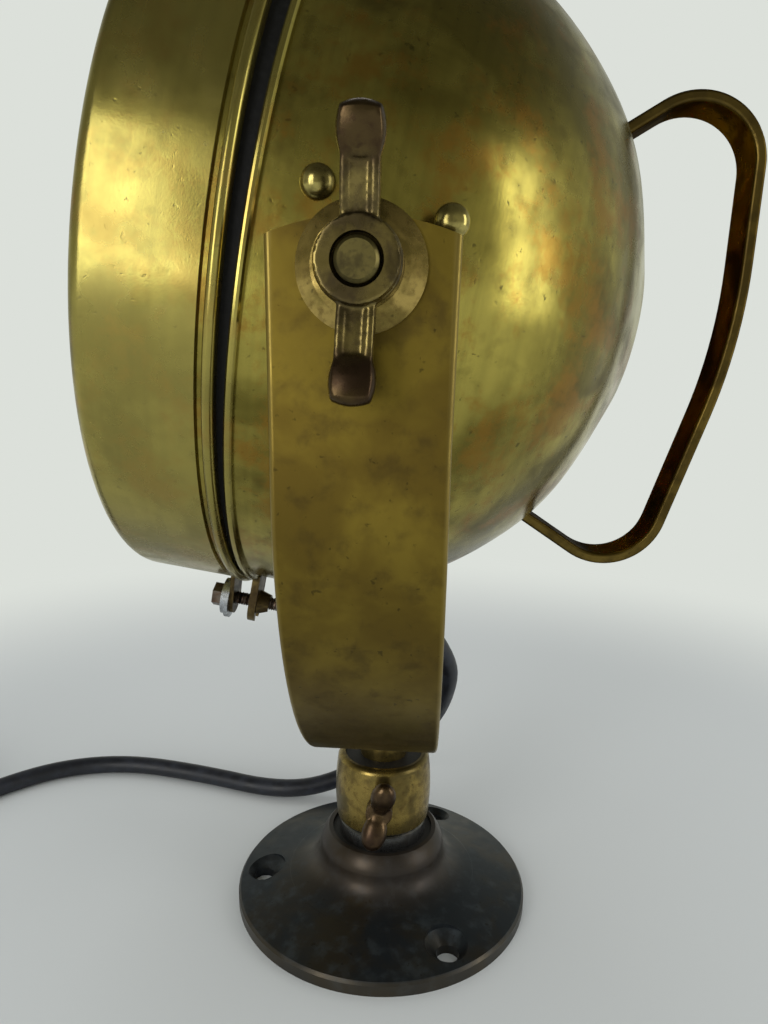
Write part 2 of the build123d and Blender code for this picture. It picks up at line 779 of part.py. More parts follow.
# Bezel: the spun rim, its glass and seals
def bezel_rim():
    """Spun brass rim with a rolled rear bead, a groove and a rounded front edge."""
    inner = skirt_radius - bezel_wall
    face = bezel_depth
    edge = bezel_edge_round
    front_outer = ThreePointArc(
        (-(face - edge), 0, skirt_radius),
        (-(face - edge * 0.2929), 0, skirt_radius - edge * 0.2929),
        (-face, 0, skirt_radius - edge),
    )
    small = edge - bezel_wall
    front_inner = ThreePointArc(
        (-(face - edge), 0, inner),
        (-(face - bezel_wall - small * 0.2929), 0, inner - small * 0.2929),
        (-(face - bezel_wall), 0, skirt_radius - edge),
    )
    bead = ThreePointArc(
        (bead_half, 0, bead_radius - bead_half),
        (0, 0, bead_radius),
        (-bead_half, 0, bead_radius - bead_half),
    )
    outside = Polyline(
        (-bead_half, 0, bead_radius - bead_half),
        (-bead_half, 0, groove_radius),
        (-(groove_end - 0.5), 0, groove_radius),
        (-groove_end, 0, skirt_radius),
        (-(face - edge), 0, skirt_radius),
    )
    mouth = Polyline(
        (-face, 0, skirt_radius - edge),
        (-face, 0, bezel_mouth_radius + 0.8),
        (-(face - 0.8), 0, bezel_mouth_radius),
        (-(face - bezel_wall - mouth_return), 0, bezel_mouth_radius),
        (-(face - bezel_wall - mouth_return), 0, bezel_mouth_radius + 1.2),
        (-(face - bezel_wall), 0, bezel_mouth_radius + 1.2),
        (-(face - bezel_wall), 0, skirt_radius - edge),
    )
    inside = Polyline(
        (-(face - edge), 0, inner),
        (-groove_end, 0, inner),
        (-(groove_end - 0.5), 0, groove_radius - bezel_wall),
        (bead_half, 0, groove_radius - bezel_wall),
        (bead_half, 0, bead_radius - bead_half),
    )
    pieces = (front_outer, front_inner, bead, outside, mouth, inside)
    return revolve(make_face([edge for piece in pieces for edge in piece.edges()]), Axis.X)


glass_front = bezel_depth - bezel_wall - glass_gasket_wall
glass_back = glass_front - glass_thickness
gasket_back = glass_back - glass_gasket_wall
gasket_lip_radius = glass_radius - 4.0
front_glass = spun((glass_back, 0), (glass_back, glass_radius), (glass_front, glass_radius), (glass_front, 0))
glass_gasket = spun(
    (gasket_back, gasket_lip_radius),
    (gasket_back, glass_gasket_radius),
    (bezel_depth - bezel_wall, glass_gasket_radius),
    (bezel_depth - bezel_wall, gasket_lip_radius),
    (glass_front, gasket_lip_radius),
    (glass_front, glass_radius),
    (glass_back, glass_radius),
    (glass_back, gasket_lip_radius),
)
clip_forward = gasket_back - clip_ring_radius
clip_seat = skirt_radius - bezel_wall
glass_retaining_ring = spun(
    (clip_forward - clip_ring_radius, glass_gasket_radius - 4.0),
    (clip_forward - clip_ring_radius, clip_seat),
    (gasket_back, clip_seat),
    (gasket_back, glass_gasket_radius - 4.0),
)
rim = on_bezel * bezel_rim()
save("bezel_rim", on_lamp_axis * rim)
save("front_glass", on_lamp_axis * on_bezel * front_glass)
save("glass_gasket", on_lamp_axis * on_bezel * glass_gasket)
save("glass_retaining_ring", on_lamp_axis * on_bezel * glass_retaining_ring)


# Hinge at the top of the bezel
def knuckle(radius, low, high):
    """A round bar on the hinge's axis between two places along Y."""
    bar = Rot(90, 0, 0) * Cylinder(radius, high - low)
    return Pos(-hinge_forward, (low + high) / 2, hinge_above_axis) * bar


def leaf_plate(outline, low, high):
    """A leaf cut to an upright outline of (forward, above axis) corners."""
    face = make_face(Polyline(*[(-forward, 0, above) for forward, above in outline], close=True))
    return Pos(0, (low + high) / 2, 0) * extrude(face, (high - low) / 2, dir=(0, 1, 0), both=True)


def drum_hinge_leaf():
    """Leaf soldered to the top of the drum, carrying the middle knuckle."""
    top = drum_radius + leaf_thickness
    root = 0.9 * drum_radius
    end = ring_back - 0.6
    sole = leaf_plate(
        [(end - leaf_length, root), (end - leaf_length, top - 0.6), (end, top + 0.8), (end, root)],
        -leaf_half_width,
        leaf_half_width,
    )
    outline = [
        (end - 6, root),
        (end - 6, top + 1.6),
        (hinge_forward - 1.5, hinge_above_axis + hinge_knuckle_radius),
        (hinge_forward + 1.0, hinge_above_axis - hinge_knuckle_radius),
        (ring_front + 0.6, ring_bead_radius + 0.5),
        (end, ring_bead_radius + 0.5),
        (end, root),
    ]
    arm = leaf_plate(outline, -hinge_middle_half, hinge_middle_half)
    leaf = sole + arm + knuckle(hinge_knuckle_radius, -hinge_middle_half, hinge_middle_half)
    return leaf - drum_outer - drum_ring - knuckle(hinge_pin_radius, -2 * hinge_half_width, 2 * hinge_half_width)


def bezel_hinge_leaf():
    """Leaf soldered to the top of the bezel, carrying the two outer knuckles."""
    near = hinge_middle_half + hinge_play
    top = skirt_radius + leaf_thickness
    root = 0.92 * skirt_radius
    start = bezel_plane + 9.0
    end = start + leaf_length
    middle = start + 5.0
    sole = leaf_plate(
        [(start, root), (start, top + 0.6), (middle, top + 0.6), (end, top - 0.4), (end, root)],
        -leaf_half_width,
        leaf_half_width,
    )
    outline = [
        (hinge_forward, hinge_above_axis + hinge_knuckle_radius),
        (hinge_forward + 3.0, hinge_above_axis + hinge_knuckle_radius - 0.4),
        (middle, top + 0.6),
        (middle, root),
        (start, root),
        (start - 1.0, bead_radius + 1.0),
        (hinge_forward + 1.5, hinge_above_axis - hinge_knuckle_radius + 0.4),
    ]
    leaf = sole
    for low, high in ((-hinge_half_width, -near), (near, hinge_half_width)):
        leaf += leaf_plate(outline, low, high)
        leaf += knuckle(hinge_knuckle_radius, low, high)
    solid_bezel = on_bezel * spun((-3, 0), (-3, skirt_radius), (bezel_depth, skirt_radius), (bezel_depth, 0))
    leaf = leaf - solid_bezel - rim
    return leaf - knuckle(hinge_pin_radius + turning_clearance, -2 * hinge_half_width, 2 * hinge_half_width)


def hinge_pin():
    """Brass pin with small round ends."""
    reach = hinge_half_width + face_gap
    pin = knuckle(hinge_pin_radius, -reach - 1.2, reach + 1.2)
    heads = [knuckle(hinge_pin_radius + 0.9, low, low + 1.2) for low in (-reach - 1.2, reach)]
    return pin + heads


save("drum_hinge_leaf", on_lamp_axis * drum_hinge_leaf())
save("bezel_hinge_leaf", on_lamp_axis * bezel_hinge_leaf())
save("hinge_pin", on_lamp_axis * hinge_pin())


# Clamp at the bottom of the bezel: a screw through the bezel's tab into the drum's slotted lug
def on_clamp(shape, forward):
    """Put a piece made along Z on the clamp screw's axis, its foot at one place on the bezel."""
    return on_bezel * Pos(-forward, -clamp_side, -clamp_below_axis) * Rot(0, 90, 0) * shape


tab_back = groove_end + 0.1
washer_face = tab_back + clamp_tab_thickness


def clamp_screw():
    """Hexagon-headed steel screw along the lamp's axis."""
    head = hexagon_bar(clamp_head_across, clamp_head_height, -clamp_head_height)
    shank = rod(clamp_screw_radius, clamp_screw_length, 0)
    shank = chamfer(shank.edges().sort_by(Axis.Z)[-1], 0.7)
    return on_clamp(head + shank, washer_face + 2 * clamp_washer_thickness)


def clamp_washers():
    """A small and a large zinc washer under the screw's head."""
    hole = rod(clamp_screw_radius + turning_clearance, 20, -10)
    small = rod(small_washer_radius, clamp_washer_thickness, 0) - hole
    large = rod(large_washer_radius, clamp_washer_thickness, 0) - hole
    placed = [
        on_clamp(small, washer_face + 2 * clamp_washer_thickness),
        on_clamp(large, washer_face + clamp_washer_thickness),
    ]
    return Part() + placed


def clamp_tab():
    """Brass tab soldered under the bezel, drilled for the screw."""
    edge_angle = degrees(atan2(clamp_side, clamp_below_axis))
    plate = rod(clamp_tab_half_width, clamp_tab_thickness, 0)
    neck = Pos(-6, 0, clamp_tab_thickness / 2) * Box(12, 2 * clamp_tab_half_width, clamp_tab_thickness)
    blank = on_clamp(plate + Rot(0, 0, edge_angle) * neck, washer_face)
    hole = on_clamp(rod(clamp_screw_radius + turning_clearance, 40, -20), washer_face)
    solid_bezel = on_bezel * spun((-3, 0), (-3, skirt_radius), (bezel_depth, skirt_radius), (bezel_depth, 0))
    return blank - hole - solid_bezel


def clamp_lug():
    """Brass lug under the drum's ring, with a boss and a slot open downward."""
    back = bezel_plane - clamp_below_axis * sin(radians(bezel_sag))
    lug_front = ring_front - 0.2
    drop = clamp_below_axis + (back - lug_front) * sin(radians(bezel_sag))

    def here(shape, forward):
        return Pos(-forward, -clamp_side, -drop) * Rot(0, 90, 0) * shape

    plate = rod(lug_half_width, lug_thickness, 0) + Pos(-lug_height / 2, 0, lug_thickness / 2) * Box(
        lug_height, 2 * lug_half_width, lug_thickness
    )
    foot = Pos(lug_hang - lug_half_width, 0, 0) * rod(lug_half_width, lug_thickness, 0)
    boss = Pos(0, 0, lug_thickness + lug_boss_length / 2) * Cone(
        lug_boss_radius, lug_boss_tip_radius, lug_boss_length
    )
    slot_half = clamp_screw_radius + lug_slot_clearance
    slot = rod(slot_half, 40, -20) + Pos(10, 0, 0) * Box(20, 2 * slot_half, 40)
    lug = here(plate + foot + boss - slot, lug_front)
    return lug - drum_outer - drum_ring


save("clamp_screw", on_lamp_axis * clamp_screw())
save("clamp_washers", on_lamp_axis * clamp_washers())
save("clamp_tab", on_lamp_axis * clamp_tab())
save("clamp_lug", on_lamp_axis * clamp_lug())


# Inside the drum: reflector, bulb, holder and its stand
vertex = reflector_seat - reflector_mouth_radius**2 / (4 * reflector_focus)


def bowl(wall, start_radius):
    """The reflector's bowl filled solid, set back by its wall."""
    steps = 8
    rise = (reflector_mouth_radius + 2 - start_radius) / steps
    points = []
    for step in range(steps + 1):
        radius = start_radius + step * rise
        points.append((-(vertex + radius**2 / (4 * reflector_focus) - wall), 0, radius))
    curve = Spline(*points)
    back = points[0][0]
    front = points[-1][0]
    sides = Polyline(points[-1], (front, 0, 0), (back, 0, 0), points[0])
    return revolve(make_face([*curve.edges(), *sides.edges()]), Axis.X)


def reflector():
    """Silvered parabolic bowl with a flat rim."""
    rim_flat = spun(
        (reflector_seat, reflector_mouth_radius - 1),
        (reflector_seat, reflector_rim_radius),
        (reflector_seat + reflector_wall, reflector_rim_radius),
        (reflector_seat + reflector_wall, reflector_mouth_radius - 1),
    )
    dish = bowl(reflector_wall, reflector_hole_radius - 6) + rim_flat - bowl(0, reflector_hole_radius - 6)
    back = dome_back + 2
    hole = spun((-back, 0), (-back, reflector_hole_radius), (vertex + 6, reflector_hole_radius), (vertex + 6, 0))
    front = reflector_seat + reflector_wall
    keep = spun((-back, 0), (-back, drum_radius), (front, drum_radius), (front, 0))
    return (dish & keep) - hole - reflector_drillings()


def reflector_screws():
    """Small round-headed screws that hold the reflector to the ring."""
    screws = []
    for radius, turn in screw_places:
        head = rod(reflector_screw_head_radius, reflector_screw_head, reflector_wall)
        head = fillet(head.edges().sort_by(Axis.Z)[-1], 0.9)
        shank = rod(reflector_screw_radius, ring_web + 2 + reflector_wall, -ring_web - 2)
        screw = Pos(-reflector_seat, 0, radius) * Rot(0, -90, 0) * (head + shank)
        screws.append(Rot(turn, 0, 0) * screw)
    return Part() + screws


def holder_stand():
    """Pillar with a foot shaped to the inside of the dome."""
    back = dome_back + 2
    pillar = spun((-back, 0), (-back, stand_radius), (-holder_back, stand_radius), (-holder_back, 0))
    foot_inner = drum_form(drum_wall + stand_foot_thickness, ring_back)
    foot = (drum_inner - foot_inner) & spun(
        (-back, 0), (-back, stand_foot_radius), (-cap_back, stand_foot_radius), (-cap_back, 0)
    )
    return (pillar & drum_inner) + foot


def lamp_holder():
    """Porcelain screw holder, stepped at its mouth."""
    return spun(
        (-holder_back, 0),
        (-holder_back, holder_radius - 2),
        (-holder_back + 2, holder_radius),
        (-holder_front - 6, holder_radius),
        (-holder_front - 5, holder_radius - 2),
        (-holder_front, holder_radius - 2),
        (-holder_front, cap_radius),
        (-cap_back, cap_radius),
        (-cap_back, 0),
    )


def bulb_cap():
    """Brass screw cap with a contact step at its back."""
    return spun(
        (-cap_back, 0),
        (-cap_back, cap_radius * 0.45),
        (-cap_back + 3, cap_radius),
        (-cap_front, cap_radius),
        (-cap_front, bulb_neck_radius),
        (-cap_front - 5, bulb_neck_radius),
        (-cap_front - 5, 0),
    )


def bulb_glass():
    """Round clear bulb with its neck in the cap."""
    def envelope(inset):
        neck = spun(
            (-cap_front - 4 + inset, 0),
            (-cap_front - 4 + inset, bulb_neck_radius - inset),
            (-cap_front, bulb_neck_radius - inset),
            (bulb_centre - 24, bulb_neck_radius - inset + 4),
            (bulb_centre, bulb_neck_radius),
            (bulb_centre, 0),
        )
        return neck + Pos(-bulb_centre, 0, 0) * Sphere(bulb_radius - inset)

    return envelope(0) - envelope(bulb_wall)


save("reflector", on_lamp_axis * reflector())
save("reflector_screws", on_lamp_axis * reflector_screws())
save("holder_stand", on_lamp_axis * holder_stand())
holder = on_lamp_axis * lamp_holder()
save("lamp_holder", holder)
save("bulb_cap", on_lamp_axis * bulb_cap())
save("bulb_glass", on_lamp_axis * bulb_glass())


# Cord: its gland under the drum, the lead inside, the hanging run, the coil and the plug
gland_seat = on_lamp_axis * drum_outer
gland_at = Pos(gland_x, gland_y, 0)


def gland_body():
    """Brass boss soldered under the drum, upright when the lamp is at rest."""
    boss = rod(gland_boss_radius, 5 * gland_boss_radius, gland_exit_height + gland_nut_height)
    skirt = rod(gland_boss_radius - 1.5, gland_nut_height, gland_exit_height + gland_grip)
    hole = rod(inner_lead_radius, 12 * gland_boss_radius, gland_exit_height)
    return gland_at * (boss + skirt - hole) - gland_seat


def gland_nut():
    """Hexagon nut that squeezes the cord where it leaves the boss."""
    nut = hexagon_bar(gland_nut_across, gland_nut_height, gland_exit_height)
    nut -= rod(gland_boss_radius - 1.5, 2 * gland_nut_height, gland_exit_height + gland_grip)
    return gland_at * (nut - rod(cord_radius, 2 * gland_nut_height, gland_exit_height - gland_nut_height))


def inner_lead():
    """Lead from the gland up to the lamp holder, behind the reflector."""
    start = (gland_x, gland_y, gland_exit_height + gland_grip)
    end = (on_lamp_axis * Pos(holder_back - 4.8, 0, -0.55 * holder_radius)).position
    lead, _ = tube_along("inner_lead", [start, *inner_lead_points, tuple(end)], inner_lead_radius)
    return lead - holder


save("gland_body", gland_body())
save("gland_nut", gland_nut())
save("inner_lead", inner_lead())

heading = radians(coil_heading)
forward = Vector(cos(heading), sin(heading), 0)
sideways = Vector(sin(heading), -cos(heading), 0)
coil_middle = Vector(coil_centre[0], coil_centre[1], 0)
entry = coil_middle - sideways * (coil_mid_radius + cord_radius - cord_inset)
entry = Vector(entry.X, entry.Y, cord_radius + cord_inset)
lead_in = entry - forward * coil_stub


def cord_hanging():
    """The cord from its gland to the coil."""
    top = (gland_x, gland_y, gland_exit_height + gland_grip)
    last_corner = lead_in - forward * lead_in_run
    points = [top, *hanging_route, tuple(last_corner), tuple(lead_in)]
    return tube_along("cord_hanging", points, cord_radius)


def cord_coil():
    """The outer shape of the stored turns, with stubs where the cord enters and leaves."""
    half_across = coil_turns_across * cord_radius
    high = 2 * cord_radius * coil_turns_high
    inner = coil_mid_radius - half_across
    outer = coil_mid_radius + half_across
    bevel = 0.5 * cord_radius
    ring = turned(
        (inner, bevel),
        (inner + bevel, 0),
        (outer - bevel, 0),
        (outer, bevel),
        (outer, high - bevel),
        (outer - bevel, high),
        (inner + bevel, high),
        (inner, high - bevel),
    )
    ring = Pos(coil_middle.X, coil_middle.Y, 0) * ring
    stub_in = Plane(origin=lead_in, z_dir=forward) * rod(cord_radius, coil_stub + 8)
    return ring + stub_in


def tail_frame():
    """Where the cord leaves the top of the coil, and the way it heads to the plug."""
    leave = radians(tail_heading + 90)
    radial = Vector(cos(leave), sin(leave), 0)
    way = Vector(sin(leave), -cos(leave), 0)
    start = coil_middle + radial * (coil_mid_radius + cord_radius - cord_inset)
    return Vector(start.X, start.Y, 3 * cord_radius - cord_inset), way


tail_start, tail_way = tail_frame()
tube, hanging_length = cord_hanging()
save("cord_hanging", tube)
coil = cord_coil()
tail_drop = plug_radius - tail_start.Z
tail_end = tail_start + tail_way * (coil_stub + tail_length) + Vector(0, 0, tail_drop)
tail_first = tail_start + tail_way * coil_stub
coil += Plane(origin=tail_first, z_dir=-tail_way) * rod(cord_radius, coil_stub + 8)
save("cord_coil", coil)
tail_points = [
    tuple(tail_first),
    tuple(tail_first + tail_way * (0.33 * tail_length)),
    tuple(tail_end - tail_way * (0.33 * tail_length)),
    tuple(tail_end),
]
tail, tail_run = tube_along("cord_tail", tail_points, cord_radius)
save("cord_tail", tail)
on_plug = Plane(origin=tail_end, x_dir=Vector(0, 0, 1).cross(tail_way), z_dir=tail_way)


def strain_relief():
    """Tapered rubber sleeve behind the plug."""
    cone = Pos(0, 0, relief_length / 2) * Cone(cord_radius + 0.8, relief_radius, relief_length)
    return on_plug * cone


def plug_body():
    """Round rubber two-pin plug."""
    shape = turned(
        (0, relief_length),
        (0.55 * plug_radius, relief_length),
        (0.92 * plug_radius, relief_length + 0.35 * plug_length),
        (0.92 * plug_radius, relief_length + plug_length - plug_nose),
        (plug_radius, relief_length + plug_length - plug_nose),
        (plug_radius, relief_length + plug_length),
        (0, relief_length + plug_length),
    )
    return on_plug * shape


def plug_pins():
    """Two round brass pins."""
    start = relief_length + plug_length
    pin = rod(plug_pin_radius, plug_pin_length, start)
    pin = chamfer(pin.edges().sort_by(Axis.Z)[-1], 0.8)
    pins = [on_plug * Pos(side * plug_pin_spacing / 2, 0, 0) * pin for side in sides]
    return Part() + pins


save("strain_relief", strain_relief())
save("plug_body", plug_body())
save("plug_pins", plug_pins())
coil_turns = coil_turns_across * coil_turns_high + (coil_heading - tail_heading) / 360
coil_length = 2 * pi * coil_mid_radius * coil_turns
print("coil turns", round(coil_turns, 3), "length", round(coil_length))
print("whole cord", round(hanging_length + 2 * coil_stub + coil_length + tail_run))
hinge_spot = on_lamp_axis * Pos(-hinge_forward, 0, hinge_above_axis)
print("hinge axis at", hinge_spot.position)
screw_spot = on_lamp_axis * on_bezel * Pos(-washer_face, -clamp_side, -clamp_below_axis)
print("clamp screw on", screw_spot.position, "turned", screw_spot.orientation)
print("plug pins from", on_plug.origin, "along", on_plug.z_dir)
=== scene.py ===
import json
from math import cos, pi, radians, sin, sqrt

import bmesh
import bpy
from mathutils import Matrix, Vector


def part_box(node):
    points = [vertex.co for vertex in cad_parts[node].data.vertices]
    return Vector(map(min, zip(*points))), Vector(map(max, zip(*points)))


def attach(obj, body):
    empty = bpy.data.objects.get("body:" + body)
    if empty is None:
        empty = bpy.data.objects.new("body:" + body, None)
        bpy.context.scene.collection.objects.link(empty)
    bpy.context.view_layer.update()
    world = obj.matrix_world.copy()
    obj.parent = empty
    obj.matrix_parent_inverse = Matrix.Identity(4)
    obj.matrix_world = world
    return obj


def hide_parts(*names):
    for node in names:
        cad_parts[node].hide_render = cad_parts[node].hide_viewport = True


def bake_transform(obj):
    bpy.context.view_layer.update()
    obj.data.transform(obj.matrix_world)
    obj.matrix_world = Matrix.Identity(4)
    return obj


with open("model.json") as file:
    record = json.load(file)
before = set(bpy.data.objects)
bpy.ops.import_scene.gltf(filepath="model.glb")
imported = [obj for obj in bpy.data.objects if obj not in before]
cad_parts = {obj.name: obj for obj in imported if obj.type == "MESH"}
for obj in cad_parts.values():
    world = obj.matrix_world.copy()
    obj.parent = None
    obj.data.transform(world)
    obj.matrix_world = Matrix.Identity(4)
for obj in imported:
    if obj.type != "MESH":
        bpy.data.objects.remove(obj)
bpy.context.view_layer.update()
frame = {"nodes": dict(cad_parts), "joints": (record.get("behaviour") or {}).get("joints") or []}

nodes = frame["nodes"]
scene = bpy.context.scene
scene.view_settings.view_transform = "Standard"

# Camera: it stands where the photograph was taken, level with the wing nuts' lower pads and close
# to the near arm, looking down ten degrees and turned a few degrees to the lamp's front.
CAMERA_AT = Vector((0.01757, -0.30136, 0.22278))
CAMERA_TURN = radians(3.69)
CAMERA_DOWN = radians(10.05)
CAMERA_ROLL = radians(1.09)
LENS_MM = 26.37

level_share = cos(CAMERA_DOWN)
heading = Vector((-sin(CAMERA_TURN) * level_share, cos(CAMERA_TURN) * level_share, -sin(CAMERA_DOWN)))
right = Vector((cos(CAMERA_TURN), sin(CAMERA_TURN), 0))
upward = right.cross(heading)
axes = Matrix((right, upward, -heading)).transposed()
camera_data = bpy.data.cameras.new("lamp_camera")
camera_data.sensor_width = 36.0
camera_data.lens = LENS_MM
camera_data.clip_start = 0.01
camera = bpy.data.objects.new("lamp_camera", camera_data)
camera.matrix_world = Matrix.Translation(CAMERA_AT) @ (axes @ Matrix.Rotation(CAMERA_ROLL, 3, "Z")).to_4x4()
scene.collection.objects.link(camera)
scene.camera = camera


# Table and background: a plain pale table top that runs into a plain pale backdrop without a
# line, as a paper sweep does. Metal and glass see a room that is pale behind the lamp, dimmer on
# the camera's side and dark overhead.
def linear(hex_colour):
    """One sRGB hex colour as the linear numbers that Blender's sockets take."""
    numbers = [int(hex_colour[i:i + 2], 16) / 255 for i in (1, 3, 5)]
    return [n / 12.92 if n <= 0.04045 else ((n + 0.055) / 1.055) ** 2.4 for n in numbers] + [1.0]


def fill(tree, node, inputs):
    """Fills a node's inputs with values, sRGB hex colours or other nodes' outputs."""
    for name, value in inputs.items():
        if isinstance(value, bpy.types.NodeSocket):
            tree.links.new(value, node.inputs[name])
        else:
            node.inputs[name].default_value = linear(value) if isinstance(value, str) else value


def add_node(tree, kind, settings=None, inputs=None, output=0):
    """Adds one node, sets its properties, fills its inputs in order or by name, and gives one output."""
    node = tree.nodes.new(kind)
    for name, value in (settings or {}).items():
        setattr(node, name, value)
    fill(tree, node, inputs if isinstance(inputs, dict) else dict(enumerate(inputs or [])))
    return node.outputs[output] if node.outputs else None


def mesh_piece(name, points, faces, smooth=True):
    """A new mesh object at the origin, its place in its points."""
    mesh = bpy.data.meshes.new(name)
    mesh.from_pydata([tuple(p) for p in points], [], faces)
    if smooth:
        mesh.shade_smooth()
    piece = bpy.data.objects.new(name, mesh)
    scene.collection.objects.link(piece)
    return piece


EASED = {"interpolation_type": "SMOOTHSTEP"}


def tinted(tree, base, tint, pattern, low, high, least=0.0, most=1.0):
    """A colour laid over another, from least to most as a pattern goes from low to high."""
    amount = add_node(tree, "ShaderNodeMapRange", EASED, [pattern, low, high, least, most])
    return add_node(tree, "ShaderNodeMix", {"data_type": "RGBA"}, {0: amount, 6: base, 7: tint}, 2)


def new_material(name):
    """A new material, its tree, its main shader and the object's own coordinates."""
    material = bpy.data.materials.new(name)
    material.use_nodes = True
    tree = material.node_tree
    place = add_node(tree, "ShaderNodeTexCoord", output="Object")
    return material, tree, tree.nodes["Principled BSDF"], place


BACKDROP = "#DCE0DA"
TABLE = "#D6D9D8"
SWEEP_STARTS = 0.30
SWEEP_ENDS = 0.62
table_paper, tree, paper, spot = new_material("matt_pale_paper")
fill(tree, paper, {"Base Color": TABLE, "Roughness": 0.85})
away = add_node(tree, "ShaderNodeVectorMath", {"operation": "LENGTH"}, [spot], "Value")
faded = add_node(tree, "ShaderNodeMapRange", EASED, [away, SWEEP_STARTS, SWEEP_ENDS])
glow = add_node(tree, "ShaderNodeEmission", inputs={"Color": BACKDROP, "Strength": 1.0})
sweep = add_node(tree, "ShaderNodeMixShader", inputs=[faded, paper.outputs[0], glow])
fill(tree, tree.nodes["Material Output"], {"Surface": sweep})
TABLE_RINGS = (0.0, 0.2, 0.5, 1.5, 6.0)
TABLE_SIDES = 48
points = [(0, 0, 0)] + [
    (r * cos(2 * pi * s / TABLE_SIDES), r * sin(2 * pi * s / TABLE_SIDES), 0)
    for r in TABLE_RINGS[1:]
    for s in range(TABLE_SIDES)
]
faces = [(0, 1 + s, 1 + (s + 1) % TABLE_SIDES) for s in range(TABLE_SIDES)]
for ring in range(len(TABLE_RINGS) - 2):
    for s in range(TABLE_SIDES):
        a = 1 + ring * TABLE_SIDES + s
        b = 1 + ring * TABLE_SIDES + (s + 1) % TABLE_SIDES
        faces.append((a, a + TABLE_SIDES, b + TABLE_SIDES, b))
table_top = mesh_piece("table_top", points, faces, smooth=False)
table_top.data.materials.append(table_paper)

world = bpy.data.worlds.new("pale_room")
world.use_nodes = True
scene.world = world
tree = world.node_tree
tree.nodes.clear()
way = add_node(tree, "ShaderNodeTexCoord", output="Generated")
parts = add_node(tree, "ShaderNodeSeparateXYZ", inputs=[way]).node.outputs
level = tinted(tree, "#98988A", "#CFD3C9", parts["Y"], -0.45, 0.55)
room = tinted(tree, level, "#4C4B40", parts["Z"], 0.26, 0.84)
ray = add_node(tree, "ShaderNodeLightPath").node.outputs
lit = add_node(tree, "ShaderNodeBackground", inputs={"Color": "#E8EBEB", "Strength": 0.78})
mirrored = add_node(tree, "ShaderNodeBackground", inputs={"Color": room, "Strength": 1.0})
shown = add_node(tree, "ShaderNodeBackground", inputs={"Color": BACKDROP, "Strength": 1.0})
indirect = add_node(tree, "ShaderNodeMixShader", inputs=[ray["Is Glossy Ray"], lit, mirrored])
seen_by = [ray["Is Camera Ray"], ray["Is Transmission Ray"]]
straight = add_node(tree, "ShaderNodeMath", {"operation": "MAXIMUM"}, seen_by)
both = add_node(tree, "ShaderNodeMixShader", inputs=[straight, indirect, shown])
add_node(tree, "ShaderNodeOutputWorld", inputs={"Surface": both})


# Light: two tall soft boxes, left and right of the camera at the lamp's own height, which give the
# two bright patches on the brass, and a weak one high up behind the lamp.
def soft_lamp(name, bearing, height, distance, wide, high, radiance):
    """A rectangular area lamp on a bearing from the lamp, looking at it, with a given radiance."""
    lamp = bpy.data.lights.new(name, "AREA")
    lamp.shape = "RECTANGLE"
    lamp.size = wide
    lamp.size_y = high
    lamp.energy = radiance * pi * wide * high
    target = Vector((0, 0, 0.23))
    rise = sqrt(distance**2 - height**2)
    at = target + Vector((rise * cos(radians(bearing)), rise * sin(radians(bearing)), height))
    holder = bpy.data.objects.new(name, lamp)
    holder.location = at
    holder.rotation_euler = (target - at).to_track_quat("-Z", "Y").to_euler()
    scene.collection.objects.link(holder)


soft_lamp("window_left", -121, 0.10, 1.7, 0.62, 1.75, 4.1)
soft_lamp("window_right", -17, 0.12, 1.7, 0.56, 1.75, 2.9)
soft_lamp("overhead_fill", 100, 1.25, 1.5, 0.5, 0.5, 1.2)


# Base: a bronze casting, turned on its neck and rim and oxidised nearly black, with a bluish bloom
# on the plate and brown metal showing where the neck and the rim are rubbed.
def finished(material, *names):
    """Gives one material to whole CAD nodes."""
    for name in names:
        for place in nodes[name].material_slots:
            place.material = material


